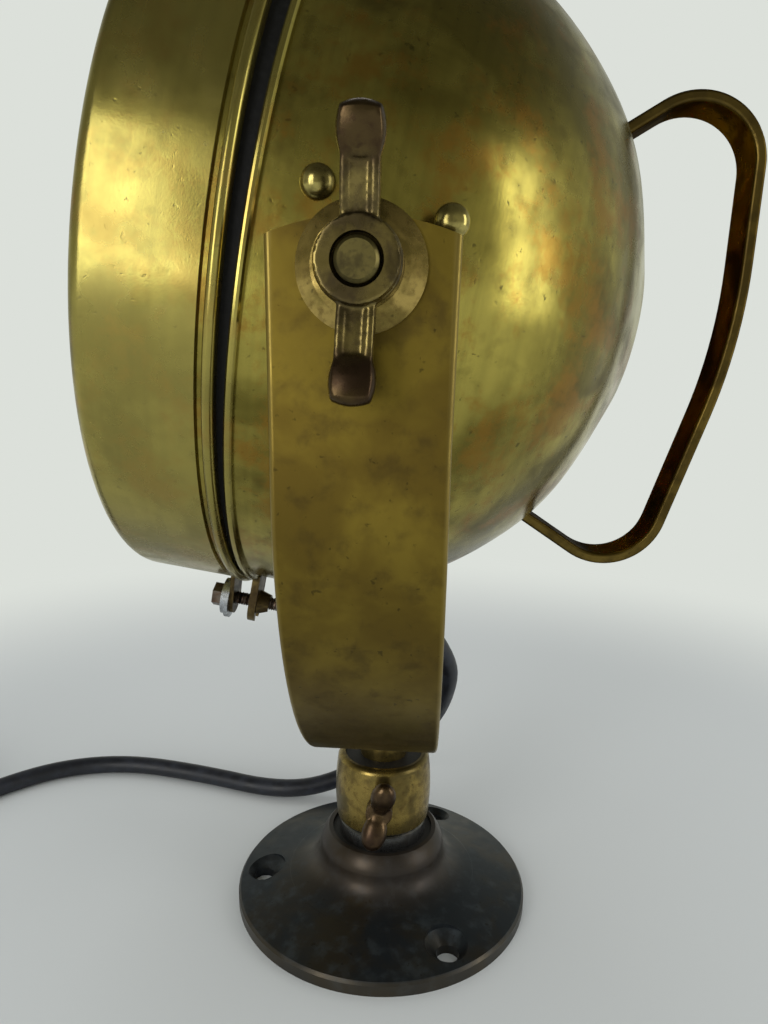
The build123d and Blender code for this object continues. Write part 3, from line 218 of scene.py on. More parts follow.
# Old brass, bronze or steel, cast, turned or spun: broad clouds of its oxide film, stains in
# blotches, dark pits some two millimetres apart, and a grain that is drawn coarser than the real
# one, which is too fine to show.
def aged_metal(name, bare, film, stain, mottle, roughness, cover=(0.38, 0.62), grain=0.0006, metallic=0.92):
    """Metal under an uneven film of its own oxide; mottle and grain are sizes in metres."""
    material, tree, shader, place = new_material(name)
    patterns = []
    for size, detail, bend, shift in (
        (mottle, 4.0, 0.3, 0.0),
        (mottle / 4, 4.0, 0.15, 1.3),
        (0.0021, 2.0, 0.3, 2.1),
        (grain, 3.0, 0.3, 3.7),
        (0.040, 0.0, 0.0, 0.0),
    ):
        shifts = (shift, shift, shift)
        moved = add_node(tree, "ShaderNodeVectorMath", {"operation": "ADD"}, [place, shifts])
        values = {"Vector": moved, "Scale": 1 / size, "Detail": detail, "Distortion": bend}
        patterns.append(add_node(tree, "ShaderNodeTexNoise", inputs={**values, "Roughness": 0.55}))
    cloud, blotch, speck, fine, swell = patterns
    pits = add_node(tree, "ShaderNodeMapRange", EASED, [speck, 0.66, 0.75, 0.0, 0.5])
    colour = tinted(tree, bare, film, cloud, *cover)
    colour = tinted(tree, colour, stain, blotch, 0.46, 0.76, 0.0, 0.6)
    colour = add_node(tree, "ShaderNodeMix", {"data_type": "RGBA"}, {0: pits, 6: colour, 7: "#1E1A0E"}, 2)
    cloud_dulls = add_node(tree, "ShaderNodeMapRange", EASED, [cloud, 0.3, 0.7, -0.06, 0.06])
    blotch_dulls = add_node(tree, "ShaderNodeMapRange", EASED, [blotch, 0.3, 0.75, -0.05, 0.08])
    dulls = add_node(tree, "ShaderNodeMath", {"operation": "ADD"}, [cloud_dulls, blotch_dulls])
    gloss = add_node(tree, "ShaderNodeMath", {"operation": "ADD"}, [dulls, roughness])
    broad = add_node(tree, "ShaderNodeBump", inputs={"Strength": 0.3, "Distance": 0.0004, "Height": swell})
    values = {"Strength": 0.06, "Distance": grain / 4, "Height": fine, "Normal": broad}
    near = add_node(tree, "ShaderNodeBump", inputs=values)
    values = {"Strength": 0.15, "Distance": 0.0002, "Height": pits, "Normal": near}
    pitted = add_node(tree, "ShaderNodeBump", {"invert": True}, values)
    fill(tree, shader, {"Base Color": colour, "Metallic": metallic, "Roughness": gloss, "Normal": pitted})
    return material


def recolour(material, make):
    """Lays more colours over a material's base colour; make takes the tree, the place and that colour."""
    tree = material.node_tree
    base = tree.nodes["Principled BSDF"].inputs["Base Color"]
    place = next(n for n in tree.nodes if n.bl_idname == "ShaderNodeTexCoord").outputs["Object"]
    tree.links.new(make(tree, place, base.links[0].from_socket), base)


flange_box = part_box("base_flange")
FLANGE_RADIUS = (flange_box[1][0] - flange_box[0][0]) / 2
NECK_REACH = 0.030
bronze = aged_metal(
    "oxidised_cast_bronze",
    bare="#37332C",
    film="#2A2F33",
    stain="#454C50",
    mottle=0.024,
    roughness=0.40,
    metallic=0.70,
)


def distance_from_axis(tree, place, across):
    """How far a point lies from an axis: across is 1 for the directions that count, 0 along the axis."""
    kept = add_node(tree, "ShaderNodeVectorMath", {"operation": "MULTIPLY"}, [place, across])
    return add_node(tree, "ShaderNodeVectorMath", {"operation": "LENGTH"}, [kept], "Value")


def rubbed_bronze(tree, place, colour):
    """Brown metal on the neck's shoulder and along the rim."""
    out = distance_from_axis(tree, place, (1, 1, 0))
    colour = tinted(tree, colour, "#46392B", out, NECK_REACH + 0.010, NECK_REACH - 0.004, 0.0, 0.5)
    return tinted(tree, colour, "#544A38", out, FLANGE_RADIUS - 0.0012, FLANGE_RADIUS - 0.0004, 0.0, 0.35)


recolour(bronze, rubbed_bronze)
finished(bronze, "base_flange")

# Spigot, its washer and nut, and the hidden plates: plain turned and sheared steel, dark and a
# little glossy with old oil. The spigot is drawn down in the neck by its nut under the flange.
oily_steel = aged_metal(
    "oiled_dark_steel", bare="#6A6A68", film="#4A4844", stain="#3A3028", mottle=0.010, roughness=0.34
)
finished(oily_steel, "spigot", "spigot_washer", "spigot_nut", "stem_nut", "stem_washer")
finished(oily_steel, "trunnion_plates", "handle_plates")

# Friction ring and the sleeve's washer: punched from vulcanised fibre, matt black with a faint fluff
# of paper threads, drawn coarser than they are. The ring lies in the neck's recess.
fibre, tree, shader, place = new_material("black_vulcanised_fibre")
FIBRE_GRAIN = 0.0008
values = {"Vector": place, "Scale": 1 / FIBRE_GRAIN, "Detail": 3.0}
threads = add_node(tree, "ShaderNodeTexNoise", inputs=values)
fluff = add_node(tree, "ShaderNodeBump", inputs={"Strength": 0.3, "Distance": 0.0001, "Height": threads})
colour = tinted(tree, "#141414", "#26231F", threads, 0.35, 0.7)
fill(tree, shader, {"Base Color": colour, "Roughness": 0.6, "Normal": fluff})
finished(fibre, "neck_ring", "sleeve_washer")

# Swivel sleeve, stem and the small brass fittings: turned brass, warmer and cleaner than the lamp
# because hands and screws keep rubbing it, with brown stains in between.
handled_brass = aged_metal(
    "handled_turned_brass", bare="#978246", film="#655832", stain="#4B3820", mottle=0.012, roughness=0.30
)
finished(handled_brass, "swivel_sleeve", "yoke_stem", "gland_body", "gland_nut")
finished(handled_brass, "plug_pins", "reflector_screws", "bulb_cap")
# Domed washers and the hinge's pin: turned and polished by rubbing, the palest brass on the lamp.
washer_brass = aged_metal(
    "domed_washer_brass", bare="#A89152", film="#766634", stain="#574522", mottle=0.008, roughness=0.24
)
finished(washer_brass, "pivot_washers", "hinge_pin")
# Clamp tab and lug: cut from sheet and soldered on, browned by the torch.
lug_brass = aged_metal(
    "browned_lug_brass", bare="#6A5A36", film="#483B25", stain="#332919", mottle=0.006, roughness=0.4
)
finished(lug_brass, "clamp_tab", "clamp_lug")
# Tilt bolts: turned ends, dull because nothing rubs them inside the nuts' mouths.
bolt_brass = aged_metal(
    "dull_bolt_brass", bare="#6C6238", film="#4C4428", stain="#372E1E", mottle=0.005, roughness=0.42
)
finished(bolt_brass, "pivot_bolts")

# Thumb screw: cast brass, browned, its two lobes like drops, which a thumb and finger turn. It is
# screwed through the sleeve and its tip runs in the spigot's groove.
cast_brass = aged_metal(
    "brown_patinated_cast_brass",
    bare="#5E4C35",
    film="#403125",
    stain="#271E17",
    mottle=0.009,
    roughness=0.33,
    grain=0.0005,
)


def block(shape, kind, middle, sizes, turn=0.0, axis="Y", round_off=0.3):
    """Adds one lump of a casting: a rounded block, or a bar along Z, of full sizes about its middle."""
    half_sizes = Matrix.Diagonal((*[s / 2 for s in sizes], 1))
    place = Matrix.Translation(middle) @ Matrix.Rotation(turn, 4, axis) @ half_sizes
    if kind == "bar":
        bmesh.ops.create_cone(
            shape, cap_ends=True, segments=48, radius1=1.0, radius2=1.0, depth=2.0, matrix=place
        )
        return
    lump = bmesh.new()
    bmesh.ops.create_cube(lump, size=2.0)
    bmesh.ops.subdivide_edges(lump, edges=list(lump.edges), cuts=7, use_grid_fill=True)
    for point in lump.verts:
        ball = point.co.normalized() * (1.0 + 0.12 * round_off)
        point.co = place @ point.co.lerp(ball, round_off)
    loose = bpy.data.meshes.new("lump")
    lump.to_mesh(loose)
    lump.free()
    shape.from_mesh(loose)
    bpy.data.meshes.remove(loose)


def as_mesh(piece):
    """A piece's present shape, its modifiers worked out, as a plain mesh."""
    graph = bpy.context.evaluated_depsgraph_get()
    graph.update()
    return bpy.data.meshes.new_from_object(piece.evaluated_get(graph), depsgraph=graph)


def cast_piece(name, shape, voxel, rounds, place, bore=None):
    """One skin over overlapping lumps, smoothed like a casting's fillets, bored, and put in its place."""
    rough = mesh_piece(name, [], [])
    shape.to_mesh(rough.data)
    shape.free()
    skin = rough.modifiers.new("skin", "REMESH")
    skin.mode = "VOXEL"
    skin.voxel_size = voxel
    ease = rough.modifiers.new("ease", "SMOOTH")
    ease.factor = 0.5
    ease.iterations = rounds
    drill = None
    if bore:
        profile = [(bore[0][0], 0.0), *bore, (bore[-1][0], 0.0)]
        drill = lathed(name + "_drill", profile)
        cut = rough.modifiers.new("bore", "BOOLEAN")
        cut.object = drill
        cut.solver = "EXACT"
    mesh = as_mesh(rough)
    rough.modifiers.clear()
    rough.data = mesh
    mesh.transform(place)
    mesh.shade_smooth()
    mesh.set_sharp_from_angle(angle=radians(42))
    mesh.name = name
    mesh.materials.clear()
    if drill:
        bpy.data.objects.remove(drill)
    return rough


def lathed(name, profile, place=None, segments=64):
    """A piece turned about Z from (height, radius) points, from axis to axis or round a closed ring."""
    shape = bmesh.new()
    rings = []
    for height, radius in profile:
        if radius == 0:
            rings.append([shape.verts.new((0, 0, height))] * segments)
        else:
            turns = [2 * pi * s / segments for s in range(segments)]
            rings.append([shape.verts.new((radius * cos(t), radius * sin(t), height)) for t in turns])
    if profile[0] == profile[-1]:
        bmesh.ops.delete(shape, geom=rings[-1], context="VERTS")
        rings[-1] = rings[0]
    for low, high in zip(rings, rings[1:]):
        for s in range(segments):
            corners = [low[s], low[(s + 1) % segments], high[(s + 1) % segments], high[s]]
            corners = list(dict.fromkeys(corners))
            if len(corners) > 2:
                shape.faces.new(corners)
    bmesh.ops.recalc_face_normals(shape, faces=shape.faces)
    piece = mesh_piece(name, [], [])
    shape.to_mesh(piece.data)
    shape.free()
    piece.data.transform(place or Matrix())
    piece.data.shade_smooth()
    piece.data.set_sharp_from_angle(angle=radians(35))
    return piece


THUMB_HEIGHT = 0.050
THUMB_TURN = radians(12)
THUMB_HUB = 0.0054
SLEEVE_FACE = 0.0206
NECK_SIZES = (0.0100, 0.0060, 0.0060)
NECK_LEAN = radians(-14)
LOBE_SIZES = (0.0130, 0.0092, 0.0070)
LOBE_LEAN = radians(-20)
shape = bmesh.new()
block(shape, "bar", (0, 0, THUMB_HUB / 2), (2 * THUMB_HUB, 2 * THUMB_HUB, THUMB_HUB))
for side in (-1, 1):
    block(shape, "cube", (side * 0.0046, 0, 0.0040), NECK_SIZES, side * NECK_LEAN, round_off=0.6)
    block(shape, "cube", (side * 0.0080, 0, 0.0056), LOBE_SIZES, side * LOBE_LEAN, round_off=0.95)
thumb_place = (
    Matrix.Translation((0, -SLEEVE_FACE, THUMB_HEIGHT))
    @ Matrix.Rotation(THUMB_TURN, 4, "Y")
    @ Matrix.Rotation(radians(90), 4, "X")
    @ Matrix.Rotation(radians(90), 4, "Z")
)
thumb_head = cast_piece("thumb_screw_head", shape, voxel=0.00035, rounds=7, place=thumb_place)
thumb_head.data.materials.append(cast_brass)
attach(thumb_head, "thumb_screw")
SHANK_RADIUS = 0.0030
shank_profile = [
    (-0.0094, 0),
    (-0.0094, 0.0010),
    (-0.0074, SHANK_RADIUS),
    (0.0020, SHANK_RADIUS),
    (0.0020, 0),
]
thumb_shank = lathed("thumb_screw_shank", shank_profile, thumb_place, 32)
thumb_shank.data.materials.append(cast_brass)
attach(thumb_shank, "thumb_screw")
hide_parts("thumb_screw")

# Yoke strap: flat brass rolled, bent to a U and drilled. Years have left it a dull olive brown; its
# colour is darker toward the bend, low down, with paler metal along both long edges where it rubs.
strap_brass = aged_metal(
    "dull_rolled_strap_brass", bare="#7D6A28", film="#65531F", stain="#483A1C", mottle=0.030, roughness=0.40
)
STRAP_HALF = 0.0219
tilt_joint = next(j for j in frame["joints"] if j["name"] == "tilt")
PIVOT_HEIGHT = tilt_joint["pos_m"][2]


def low_dark_rubbed_strap(tree, place, colour):
    """Darker toward the bend, paler along the edges."""
    parts = add_node(tree, "ShaderNodeSeparateXYZ", inputs=[place]).node.outputs
    colour = tinted(tree, colour, "#3C3117", parts["Z"], 0.185, 0.095, 0.0, 0.45)
    edge = add_node(tree, "ShaderNodeMath", {"operation": "ABSOLUTE"}, [parts["X"]])
    return tinted(tree, colour, "#8C7A40", edge, STRAP_HALF - 0.0016, STRAP_HALF - 0.0002, 0.0, 0.75)


recolour(strap_brass, low_dark_rubbed_strap)
finished(strap_brass, "yoke_strap", "pivot_spacers")

# Wing nuts: cast brass, worn and bright round the hub and nearly black on the two flared pads, which
# stand on ribbed necks. They run on the tilt bolts and clamp the drum between the arms.
wing_brass = aged_metal(
    "handled_wing_nut_brass",
    bare="#7E6F40",
    film="#4E432A",
    stain="#30271B",
    mottle=0.009,
    roughness=0.26,
    grain=0.0005,
)


def dark_outer_pads(tree, place, colour):
    """Nearly black on the pads, darker further out from the hub."""
    pivot = (0, 0, PIVOT_HEIGHT)
    from_pivot = add_node(tree, "ShaderNodeVectorMath", {"operation": "SUBTRACT"}, [place, pivot])
    out = distance_from_axis(tree, from_pivot, (1, 0, 1))
    return tinted(tree, colour, "#36251A", out, 0.017, 0.023, 0.0, 0.8)


recolour(wing_brass, dark_outer_pads)
WING_REACH = 0.0308
PAD_LENGTH = 0.0112
PAD_WIDTH = 0.0104
PAD_SIZES = (PAD_LENGTH, PAD_WIDTH, 0.0058)
PAD_FLARE = radians(20)
WING_NECK_SIZES = (0.0160, 0.0074, 0.0046)
RIB_SIZES = (0.0150, 0.0022, 0.0052)
HUB_RADIUS = 0.0100
HUB_LENGTH = 0.0080
BORE_RADIUS = 0.0051
BORE_MOUTH = 0.0059


def wing_nut(name, node, seat, outward, turn):
    """One wing nut on its washer: seat is the height of its foot along Y, outward the way it faces."""
    shape = bmesh.new()
    block(shape, "bar", (0, 0, 0.0030), (2 * HUB_RADIUS, 2 * HUB_RADIUS, 0.0060))
    block(shape, "bar", (0, 0, 0.0040), (2 * HUB_RADIUS - 0.0012, 2 * HUB_RADIUS - 0.0012, HUB_LENGTH))
    for side in (-1, 1):
        middle = WING_REACH - PAD_LENGTH / 2 * cos(PAD_FLARE)
        pad_lean = -side * PAD_FLARE
        neck_lean = pad_lean * 0.6
        block(shape, "cube", (side * middle, 0, 0.0082), PAD_SIZES, pad_lean, round_off=0.62)
        block(shape, "cube", (side * 0.0145, 0, 0.0046), WING_NECK_SIZES, neck_lean, round_off=0.25)
        for rib in (-1, 1):
            rib_at = (side * 0.0148, rib * 0.0033, 0.0052)
            block(shape, "cube", rib_at, RIB_SIZES, neck_lean, round_off=0.4)
    bore = [
        (-0.001, BORE_RADIUS),
        (HUB_LENGTH - 0.0030, BORE_RADIUS),
        (HUB_LENGTH - 0.0026, BORE_MOUTH),
        (0.012, BORE_MOUTH),
    ]
    to_axis = Matrix.Rotation(radians(90) * -outward, 4, "X")
    place = (
        Matrix.Translation((0, seat, PIVOT_HEIGHT))
        @ Matrix.Rotation(radians(turn), 4, "Y")
        @ to_axis
        @ Matrix.Rotation(radians(90), 4, "Z")
    )
    nut = cast_piece(name, shape, voxel=0.00042, rounds=6, place=place, bore=bore)
    nut.data.materials.append(wing_brass)
    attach(nut, node)
    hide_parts(node)


near_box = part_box("near_wing_nut")
far_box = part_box("far_wing_nut")
wing_nut("near_wing_nut_casting", "near_wing_nut", near_box[1][1], -1, 1.5)
wing_nut("far_wing_nut_casting", "far_wing_nut", far_box[0][1], 1, 24.0)

# Drum and bezel: brass sheet spun over a former, so faint rings run round the lamp's axis. The
# lacquer is long gone; an olive film lies over it in clouds, gold where it is thin.
TILT_AT_REST = radians(10.1)
AXIS_RISE = 0.00675
DRUM_RADIUS = 0.1163
RING_PITCH = 0.0035
TINGE_SIZE = 0.022
pivot = Matrix.Translation((0, 0, PIVOT_HEIGHT))
lamp_axis = pivot @ Matrix.Rotation(TILT_AT_REST, 4, "Y") @ Matrix.Translation((0, 0, AXIS_RISE))
spun_brass = aged_metal(
    "tarnished_spun_brass", bare="#A79A4A", film="#6E6429", stain="#4C4118", mottle=0.046, roughness=0.25
)


def spun_marks_and_rim_highlight(tree, place, colour):
    """Fine rings round the lamp's axis, a brown tinge in patches, and paler rims: rubbed metal with a
    painted highlight along the bead.
    """
    values = {"Vector": place, "Location": lamp_axis.translation, "Rotation": (0, TILT_AT_REST, 0)}
    centred = add_node(tree, "ShaderNodeMapping", {"vector_type": "TEXTURE"}, values)
    along = add_node(tree, "ShaderNodeSeparateXYZ", inputs=[centred], output="X")
    out = distance_from_axis(tree, centred, (0, 1, 1))
    ring_place = add_node(tree, "ShaderNodeCombineXYZ", inputs=[along, out])
    values = {"Vector": ring_place, "Scale": 1 / RING_PITCH, "Detail": 4.0, "Roughness": 0.6}
    rings = add_node(tree, "ShaderNodeTexNoise", inputs=values)
    values = {"Vector": place, "Scale": 1 / TINGE_SIZE, "Detail": 6.0, "Roughness": 0.72}
    tinge = add_node(tree, "ShaderNodeTexNoise", inputs=values)
    colour = tinted(tree, colour, "#3E3A18", rings, 0.35, 0.72, 0.0, 0.20)
    colour = tinted(tree, colour, "#8F6724", tinge, 0.48, 0.64, 0.0, 0.62)
    # Paler rims outside the drum's radius: rubbed metal, and a painted highlight along the bezel's bead.
    return tinted(tree, colour, "#A89C58", out, DRUM_RADIUS + 0.0012, DRUM_RADIUS + 0.0020, 0.0, 0.5)


recolour(spun_brass, spun_marks_and_rim_highlight)
finished(spun_brass, "drum_shell", "drum_front_ring", "bezel_rim", "drum_hinge_leaf", "bezel_hinge_leaf")

# Seals: moulded rubber rings between drum and bezel and round the glass, where a sprung ring of
# brass wire holds it in the bezel. The rubber is matt and near black, with a fine dust on it that
# is drawn coarser than it is.
rubber, tree, shader, place = new_material("black_moulded_rubber")
RUBBER_GRAIN = 0.0012
values = {"Vector": place, "Scale": 1 / RUBBER_GRAIN, "Detail": 4.0}
dust = add_node(tree, "ShaderNodeTexNoise", inputs=values)
skin = add_node(tree, "ShaderNodeBump", inputs={"Strength": 0.15, "Distance": 0.0001, "Height": dust})
colour = tinted(tree, "#080808", "#121212", dust, 0.4, 0.75)
values = {"Base Color": colour, "Roughness": 0.7, "Specular IOR Level": 0.25, "Normal": skin}
fill(tree, shader, values)
finished(rubber, "glass_gasket", "inner_lead")
SEAL_BACK = 0.0308
SEAL_FRONT = 0.0368
SEAL_INSIDE = 0.1142
SEAL_OUTSIDE = 0.1158
seal_profile = [
    (SEAL_BACK, SEAL_INSIDE),
    (SEAL_FRONT - 0.0008, SEAL_INSIDE),
    (SEAL_FRONT, (SEAL_INSIDE + SEAL_OUTSIDE) / 2),
    (SEAL_FRONT - 0.0008, SEAL_OUTSIDE),
    (SEAL_BACK, SEAL_OUTSIDE),
    (SEAL_BACK, SEAL_INSIDE),
]
rim_seal = lathed("rim_seal_ring", seal_profile, lamp_axis @ Matrix.Rotation(radians(-90), 4, "Y"), 160)
rim_seal.data.materials.append(rubber)
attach(rim_seal, "drum")
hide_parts("rim_gasket")
finished(washer_brass, "glass_retaining_ring")


# Rivets: eight round-headed brass rivets hold the plates behind the tilt bolts. Each is a ball
# head on a shank, snapped down on the drum's skin; their heads are rubbed bright.
def grown(name, tree, values):
    """A Geometry Nodes tree's result as a plain mesh object at the origin."""
    piece = mesh_piece(name, [], [])
    modifier = piece.modifiers.new("grow", "NODES")
    modifier.node_group = tree
    for item in tree.interface.items_tree:
        if item.in_out == "INPUT":
            modifier[item.identifier] = values[item.name]
    mesh = as_mesh(piece)
    piece.modifiers.clear()
    piece.data = mesh
    mesh.name = name
    return piece


def new_tree(name, inputs):
    """An empty Geometry Nodes tree with named inputs, and the node that holds their sockets."""
    tree = bpy.data.node_groups.new(name, "GeometryNodeTree")
    for label, kind in inputs.items():
        tree.interface.new_socket(label, in_out="INPUT", socket_type=kind)
    tree.interface.new_socket("Geometry", in_out="OUTPUT", socket_type="NodeSocketGeometry")
    return tree, tree.nodes.new("NodeGroupInput").outputs


def close_tree(tree, pieces, material):
    """Joins the pieces, makes instances real, sets the material and ends the tree."""
    joined = tree.nodes.new("GeometryNodeJoinGeometry")
    for piece in pieces:
        tree.links.new(piece, joined.inputs[0])
    smooth = add_node(tree, "GeometryNodeSetShadeSmooth", inputs={"Geometry": joined.outputs[0]})
    real = add_node(tree, "GeometryNodeRealizeInstances", inputs={"Geometry": smooth})
    coated = add_node(tree, "GeometryNodeSetMaterial", inputs={"Geometry": real, "Material": material})
    add_node(tree, "NodeGroupOutput", inputs={"Geometry": coated})


def bar(tree, corners, radius, length, share):
    """A cylinder or prism along Z, its middle at a share of its length."""
    values = {"Vertices": corners, "Radius": radius, "Depth": length}
    made = add_node(tree, "GeometryNodeMeshCylinder", inputs=values)
    middle = add_node(tree, "ShaderNodeMath", {"operation": "MULTIPLY"}, [length, share])
    lift = add_node(tree, "ShaderNodeCombineXYZ", inputs={2: middle})
    return add_node(tree, "GeometryNodeTransform", inputs={"Geometry": made, "Translation": lift})


NUMBER = "NodeSocketFloat"
tree, given = new_tree(
    "rivet_pattern",
    {
        "Circle radius": NUMBER,
        "Pattern turn": "NodeSocketVector",
        "Drum radius": NUMBER,
        "Axis rise": NUMBER,
        "Head": "NodeSocketVector",
        "Shank radius": NUMBER,
        "Shank": NUMBER,
        "Material": "NodeSocketMaterial",
    },
)
circle = add_node(tree, "GeometryNodeMeshCircle", inputs={"Vertices": 4, "Radius": given["Circle radius"]})
values = {"Geometry": circle, "Rotation": given["Pattern turn"]}
spots = add_node(tree, "GeometryNodeTransform", inputs=values)
at = add_node(tree, "GeometryNodeInputPosition")
parts = add_node(tree, "ShaderNodeSeparateXYZ", inputs=[at]).node.outputs
up = add_node(tree, "ShaderNodeMath", {"operation": "SUBTRACT"}, [parts["Y"], given["Axis rise"]])
drum_squared = add_node(tree, "ShaderNodeMath", {"operation": "POWER"}, [given["Drum radius"], 2.0])
up_squared = add_node(tree, "ShaderNodeMath", {"operation": "POWER"}, [up, 2.0])
side_squared = add_node(tree, "ShaderNodeMath", {"operation": "SUBTRACT"}, [drum_squared, up_squared])
skin_at = add_node(tree, "ShaderNodeMath", {"operation": "SQRT"}, [side_squared])
ball = add_node(tree, "GeometryNodeMeshUVSphere", inputs={"Segments": 28, "Rings": 16, "Radius": 1.0})
head = add_node(tree, "GeometryNodeTransform", inputs={"Geometry": ball, "Scale": given["Head"]})
shank = bar(tree, 20, given["Shank radius"], given["Shank"], -0.5)
sides = []
for side in (-1, 1):
    side_at = add_node(tree, "ShaderNodeMath", {"operation": "MULTIPLY"}, [skin_at, side])
    seat = add_node(tree, "ShaderNodeCombineXYZ", inputs=[parts["X"], side_at, up])
    seated = add_node(tree, "GeometryNodeSetPosition", inputs={"Geometry": spots, "Position": seat})
    for form in (head, shank):
        values = {"Points": seated, "Instance": form, "Rotation": (radians(-90) * side, 0, 0)}
        sides.append(add_node(tree, "GeometryNodeInstanceOnPoints", inputs=values))
close_tree(tree, sides, given["Material"])
rivet_brass = aged_metal(
    "snapped_rivet_brass", bare="#A6995A", film="#74693A", stain="#4E4426", mottle=0.006, roughness=0.20
)
RIVET_SPACING = 0.033
RIVET_TURN = radians(45 - 5.3)
rivets = grown(
    "rivet_heads",
    tree,
    {
        "Circle radius": RIVET_SPACING / sqrt(2),
        "Pattern turn": (0, 0, RIVET_TURN),
        "Drum radius": DRUM_RADIUS,
        "Axis rise": AXIS_RISE,
        "Head": (0.0043, 0.0043, 0.0032),
        "Shank radius": 0.0024,
        "Shank": 0.0050,
        "Material": rivet_brass,
    },
)
rivets.data.transform(lamp_axis)
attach(rivets, "drum")
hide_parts("trunnion_rivets")

# Handle: a flat brass strap bent to a loop, its feet riveted through the dome. It is browned all
# over, darker than the drum, with a thin paler line along each edge: rubbed metal and a painted highlight.
handle_brass = aged_metal(
    "browned_strap_brass",
    bare="#6A5727",
    film="#443516",
    stain="#2A200F",
    mottle=0.020,
    roughness=0.40,
    metallic=1.0,
)
tree = handle_brass.node_tree
fill(tree, tree.nodes["Principled BSDF"], {"Specular Tint": "#4E4326"})
HANDLE_HALF = 0.0095


def handle_edge_wear_and_highlight(tree, place, colour):
    """Paler metal along both edges: rubbed metal and a painted highlight."""
    sideways = add_node(tree, "ShaderNodeSeparateXYZ", inputs=[place], output="Y")
    edge = add_node(tree, "ShaderNodeMath", {"operation": "ABSOLUTE"}, [sideways])
    # Paler edges: partly wear, partly a painted highlight on the rounded edges.
    return tinted(tree, colour, "#6E6038", edge, HANDLE_HALF - 0.0014, HANDLE_HALF - 0.0004, 0.0, 0.22)


recolour(handle_brass, handle_edge_wear_and_highlight)
finished(handle_brass, "handle")

# Clamp: a steel hexagon screw with a rolled thread, through the bezel's tab into the drum's
# slotted lug, with a small and a large zinc-plated washer under its head.
tree, given = new_tree(
    "threaded_bar",
    {
        "Radius": NUMBER,
        "Length": NUMBER,
        "Pitch": NUMBER,
        "Head radius": NUMBER,
        "Head": NUMBER,
        "Material": "NodeSocketMaterial",
    },
)
turns = add_node(tree, "ShaderNodeMath", {"operation": "DIVIDE"}, [given["Length"], given["Pitch"]])
half_pitch = add_node(tree, "ShaderNodeMath", {"operation": "MULTIPLY"}, [given["Pitch"], 0.5])
depth = add_node(tree, "ShaderNodeMath", {"operation": "MULTIPLY"}, [given["Pitch"], 0.6])
root = add_node(tree, "ShaderNodeMath", {"operation": "SUBTRACT"}, [given["Radius"], half_pitch])
core_radius = add_node(tree, "ShaderNodeMath", {"operation": "SUBTRACT"}, [given["Radius"], depth])
values = {
    "Resolution": 20,
    "Rotations": turns,
    "Start Radius": root,
    "End Radius": root,
    "Height": given["Length"],
}
helix = add_node(tree, "GeometryNodeCurveSpiral", inputs=values)
values = {"Resolution": 4, "Radius": half_pitch}
ridge = add_node(tree, "GeometryNodeCurvePrimitiveCircle", {"mode": "RADIUS"}, values)
values = {"Curve": helix, "Profile Curve": ridge, "Fill Caps": True}
thread = add_node(tree, "GeometryNodeCurveToMesh", inputs=values)
core = bar(tree, 24, core_radius, given["Length"], 0.5)
head = bar(tree, 6, given["Head radius"], given["Head"], -0.5)
close_tree(tree, [thread, core, head], given["Material"])
CLAMP_AT = Vector((-0.0583139, -0.025, 0.138594))
CLAMP_TURN = radians(8.7)
WASHERS = 0.0032
# Plain rolled steel, brown with rust in blotches.
clamp_steel = aged_metal(
    "rusted_screw_steel", bare="#6E665C", film="#4C4036", stain="#5E3A20", mottle=0.006, roughness=0.4
)
clamp_screw = grown(
    "clamp_screw_threaded",
    tree,
    {
        "Radius": 0.0025,
        "Length": 0.037,
        "Pitch": 0.0009,
        "Head radius": 0.0046,
        "Head": 0.004,
        "Material": clamp_steel,
    },
)
along_screw = Matrix.Rotation(CLAMP_TURN + radians(90), 4, "Y") @ Matrix.Translation((0, 0, -WASHERS))
clamp_screw.data.transform(Matrix.Translation(CLAMP_AT) @ along_screw)
clamp_screw.data.set_sharp_from_angle(angle=radians(40))
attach(clamp_screw, "clamp_screw")
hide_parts("clamp_screw")
# Plated in a bath: pale grey, even, with a soft shine.
zinc = aged_metal(
    "zinc_plated_steel", bare="#B4B8BC", film="#8E9296", stain="#6E6C66", mottle=0.005, roughness=0.3
)
finished(zinc, "clamp_washers")

# Front glass and bulb glass: clear pressed plate and thin blown glass, both smooth from the fire, so
# that they shine and show the reflector behind. A slow wave of some centimetres bends what they mirror.
glass, tree, shader, place = new_material("clear_soda_glass")
WAVE = 0.035
ripple = add_node(tree, "ShaderNodeTexNoise", inputs={"Vector": place, "Scale": 1 / WAVE, "Detail": 1.0})
waved = add_node(tree, "ShaderNodeBump", inputs={"Strength": 0.08, "Distance": 0.0002, "Height": ripple})
values = {
    "Base Color": "#F4F8F5",
    "Roughness": 0.02,
    "Transmission Weight": 1.0,
    "IOR": 1.45,
    "Normal": waved,
}
fill(tree, shader, values)
finished(glass, "front_glass", "bulb_glass")

# Reflector: copper sheet spun to a parabola and silvered, bright with faint yellow tarnish. Small
# screws hold it on the lamp holder's stand.
silver = aged_metal(
    "silvered_reflector",
    bare="#E6E4DC",
    film="#D2CFC4",
    stain="#B2AA96",
    mottle=0.050,
    roughness=0.14,
    cover=(0.45, 0.75),
)
finished(silver, "reflector")

# Lamp holder: porcelain, pressed, glazed and fired, white with a wet shine and a faint cream haze.
# It stands on a turned steel foot inside the dome.
porcelain, tree, shader, place = new_material("glazed_porcelain")
GLAZE_HAZE = 0.012
values = {"Vector": place, "Scale": 1 / GLAZE_HAZE, "Detail": 3.0}
haze = add_node(tree, "ShaderNodeTexNoise", inputs=values)
colour = tinted(tree, "#E9E6DC", "#DAD4C4", haze, 0.35, 0.7)
fill(tree, shader, {"Base Color": colour, "Roughness": 0.12})
finished(porcelain, "lamp_holder")
finished(oily_steel, "holder_stand")

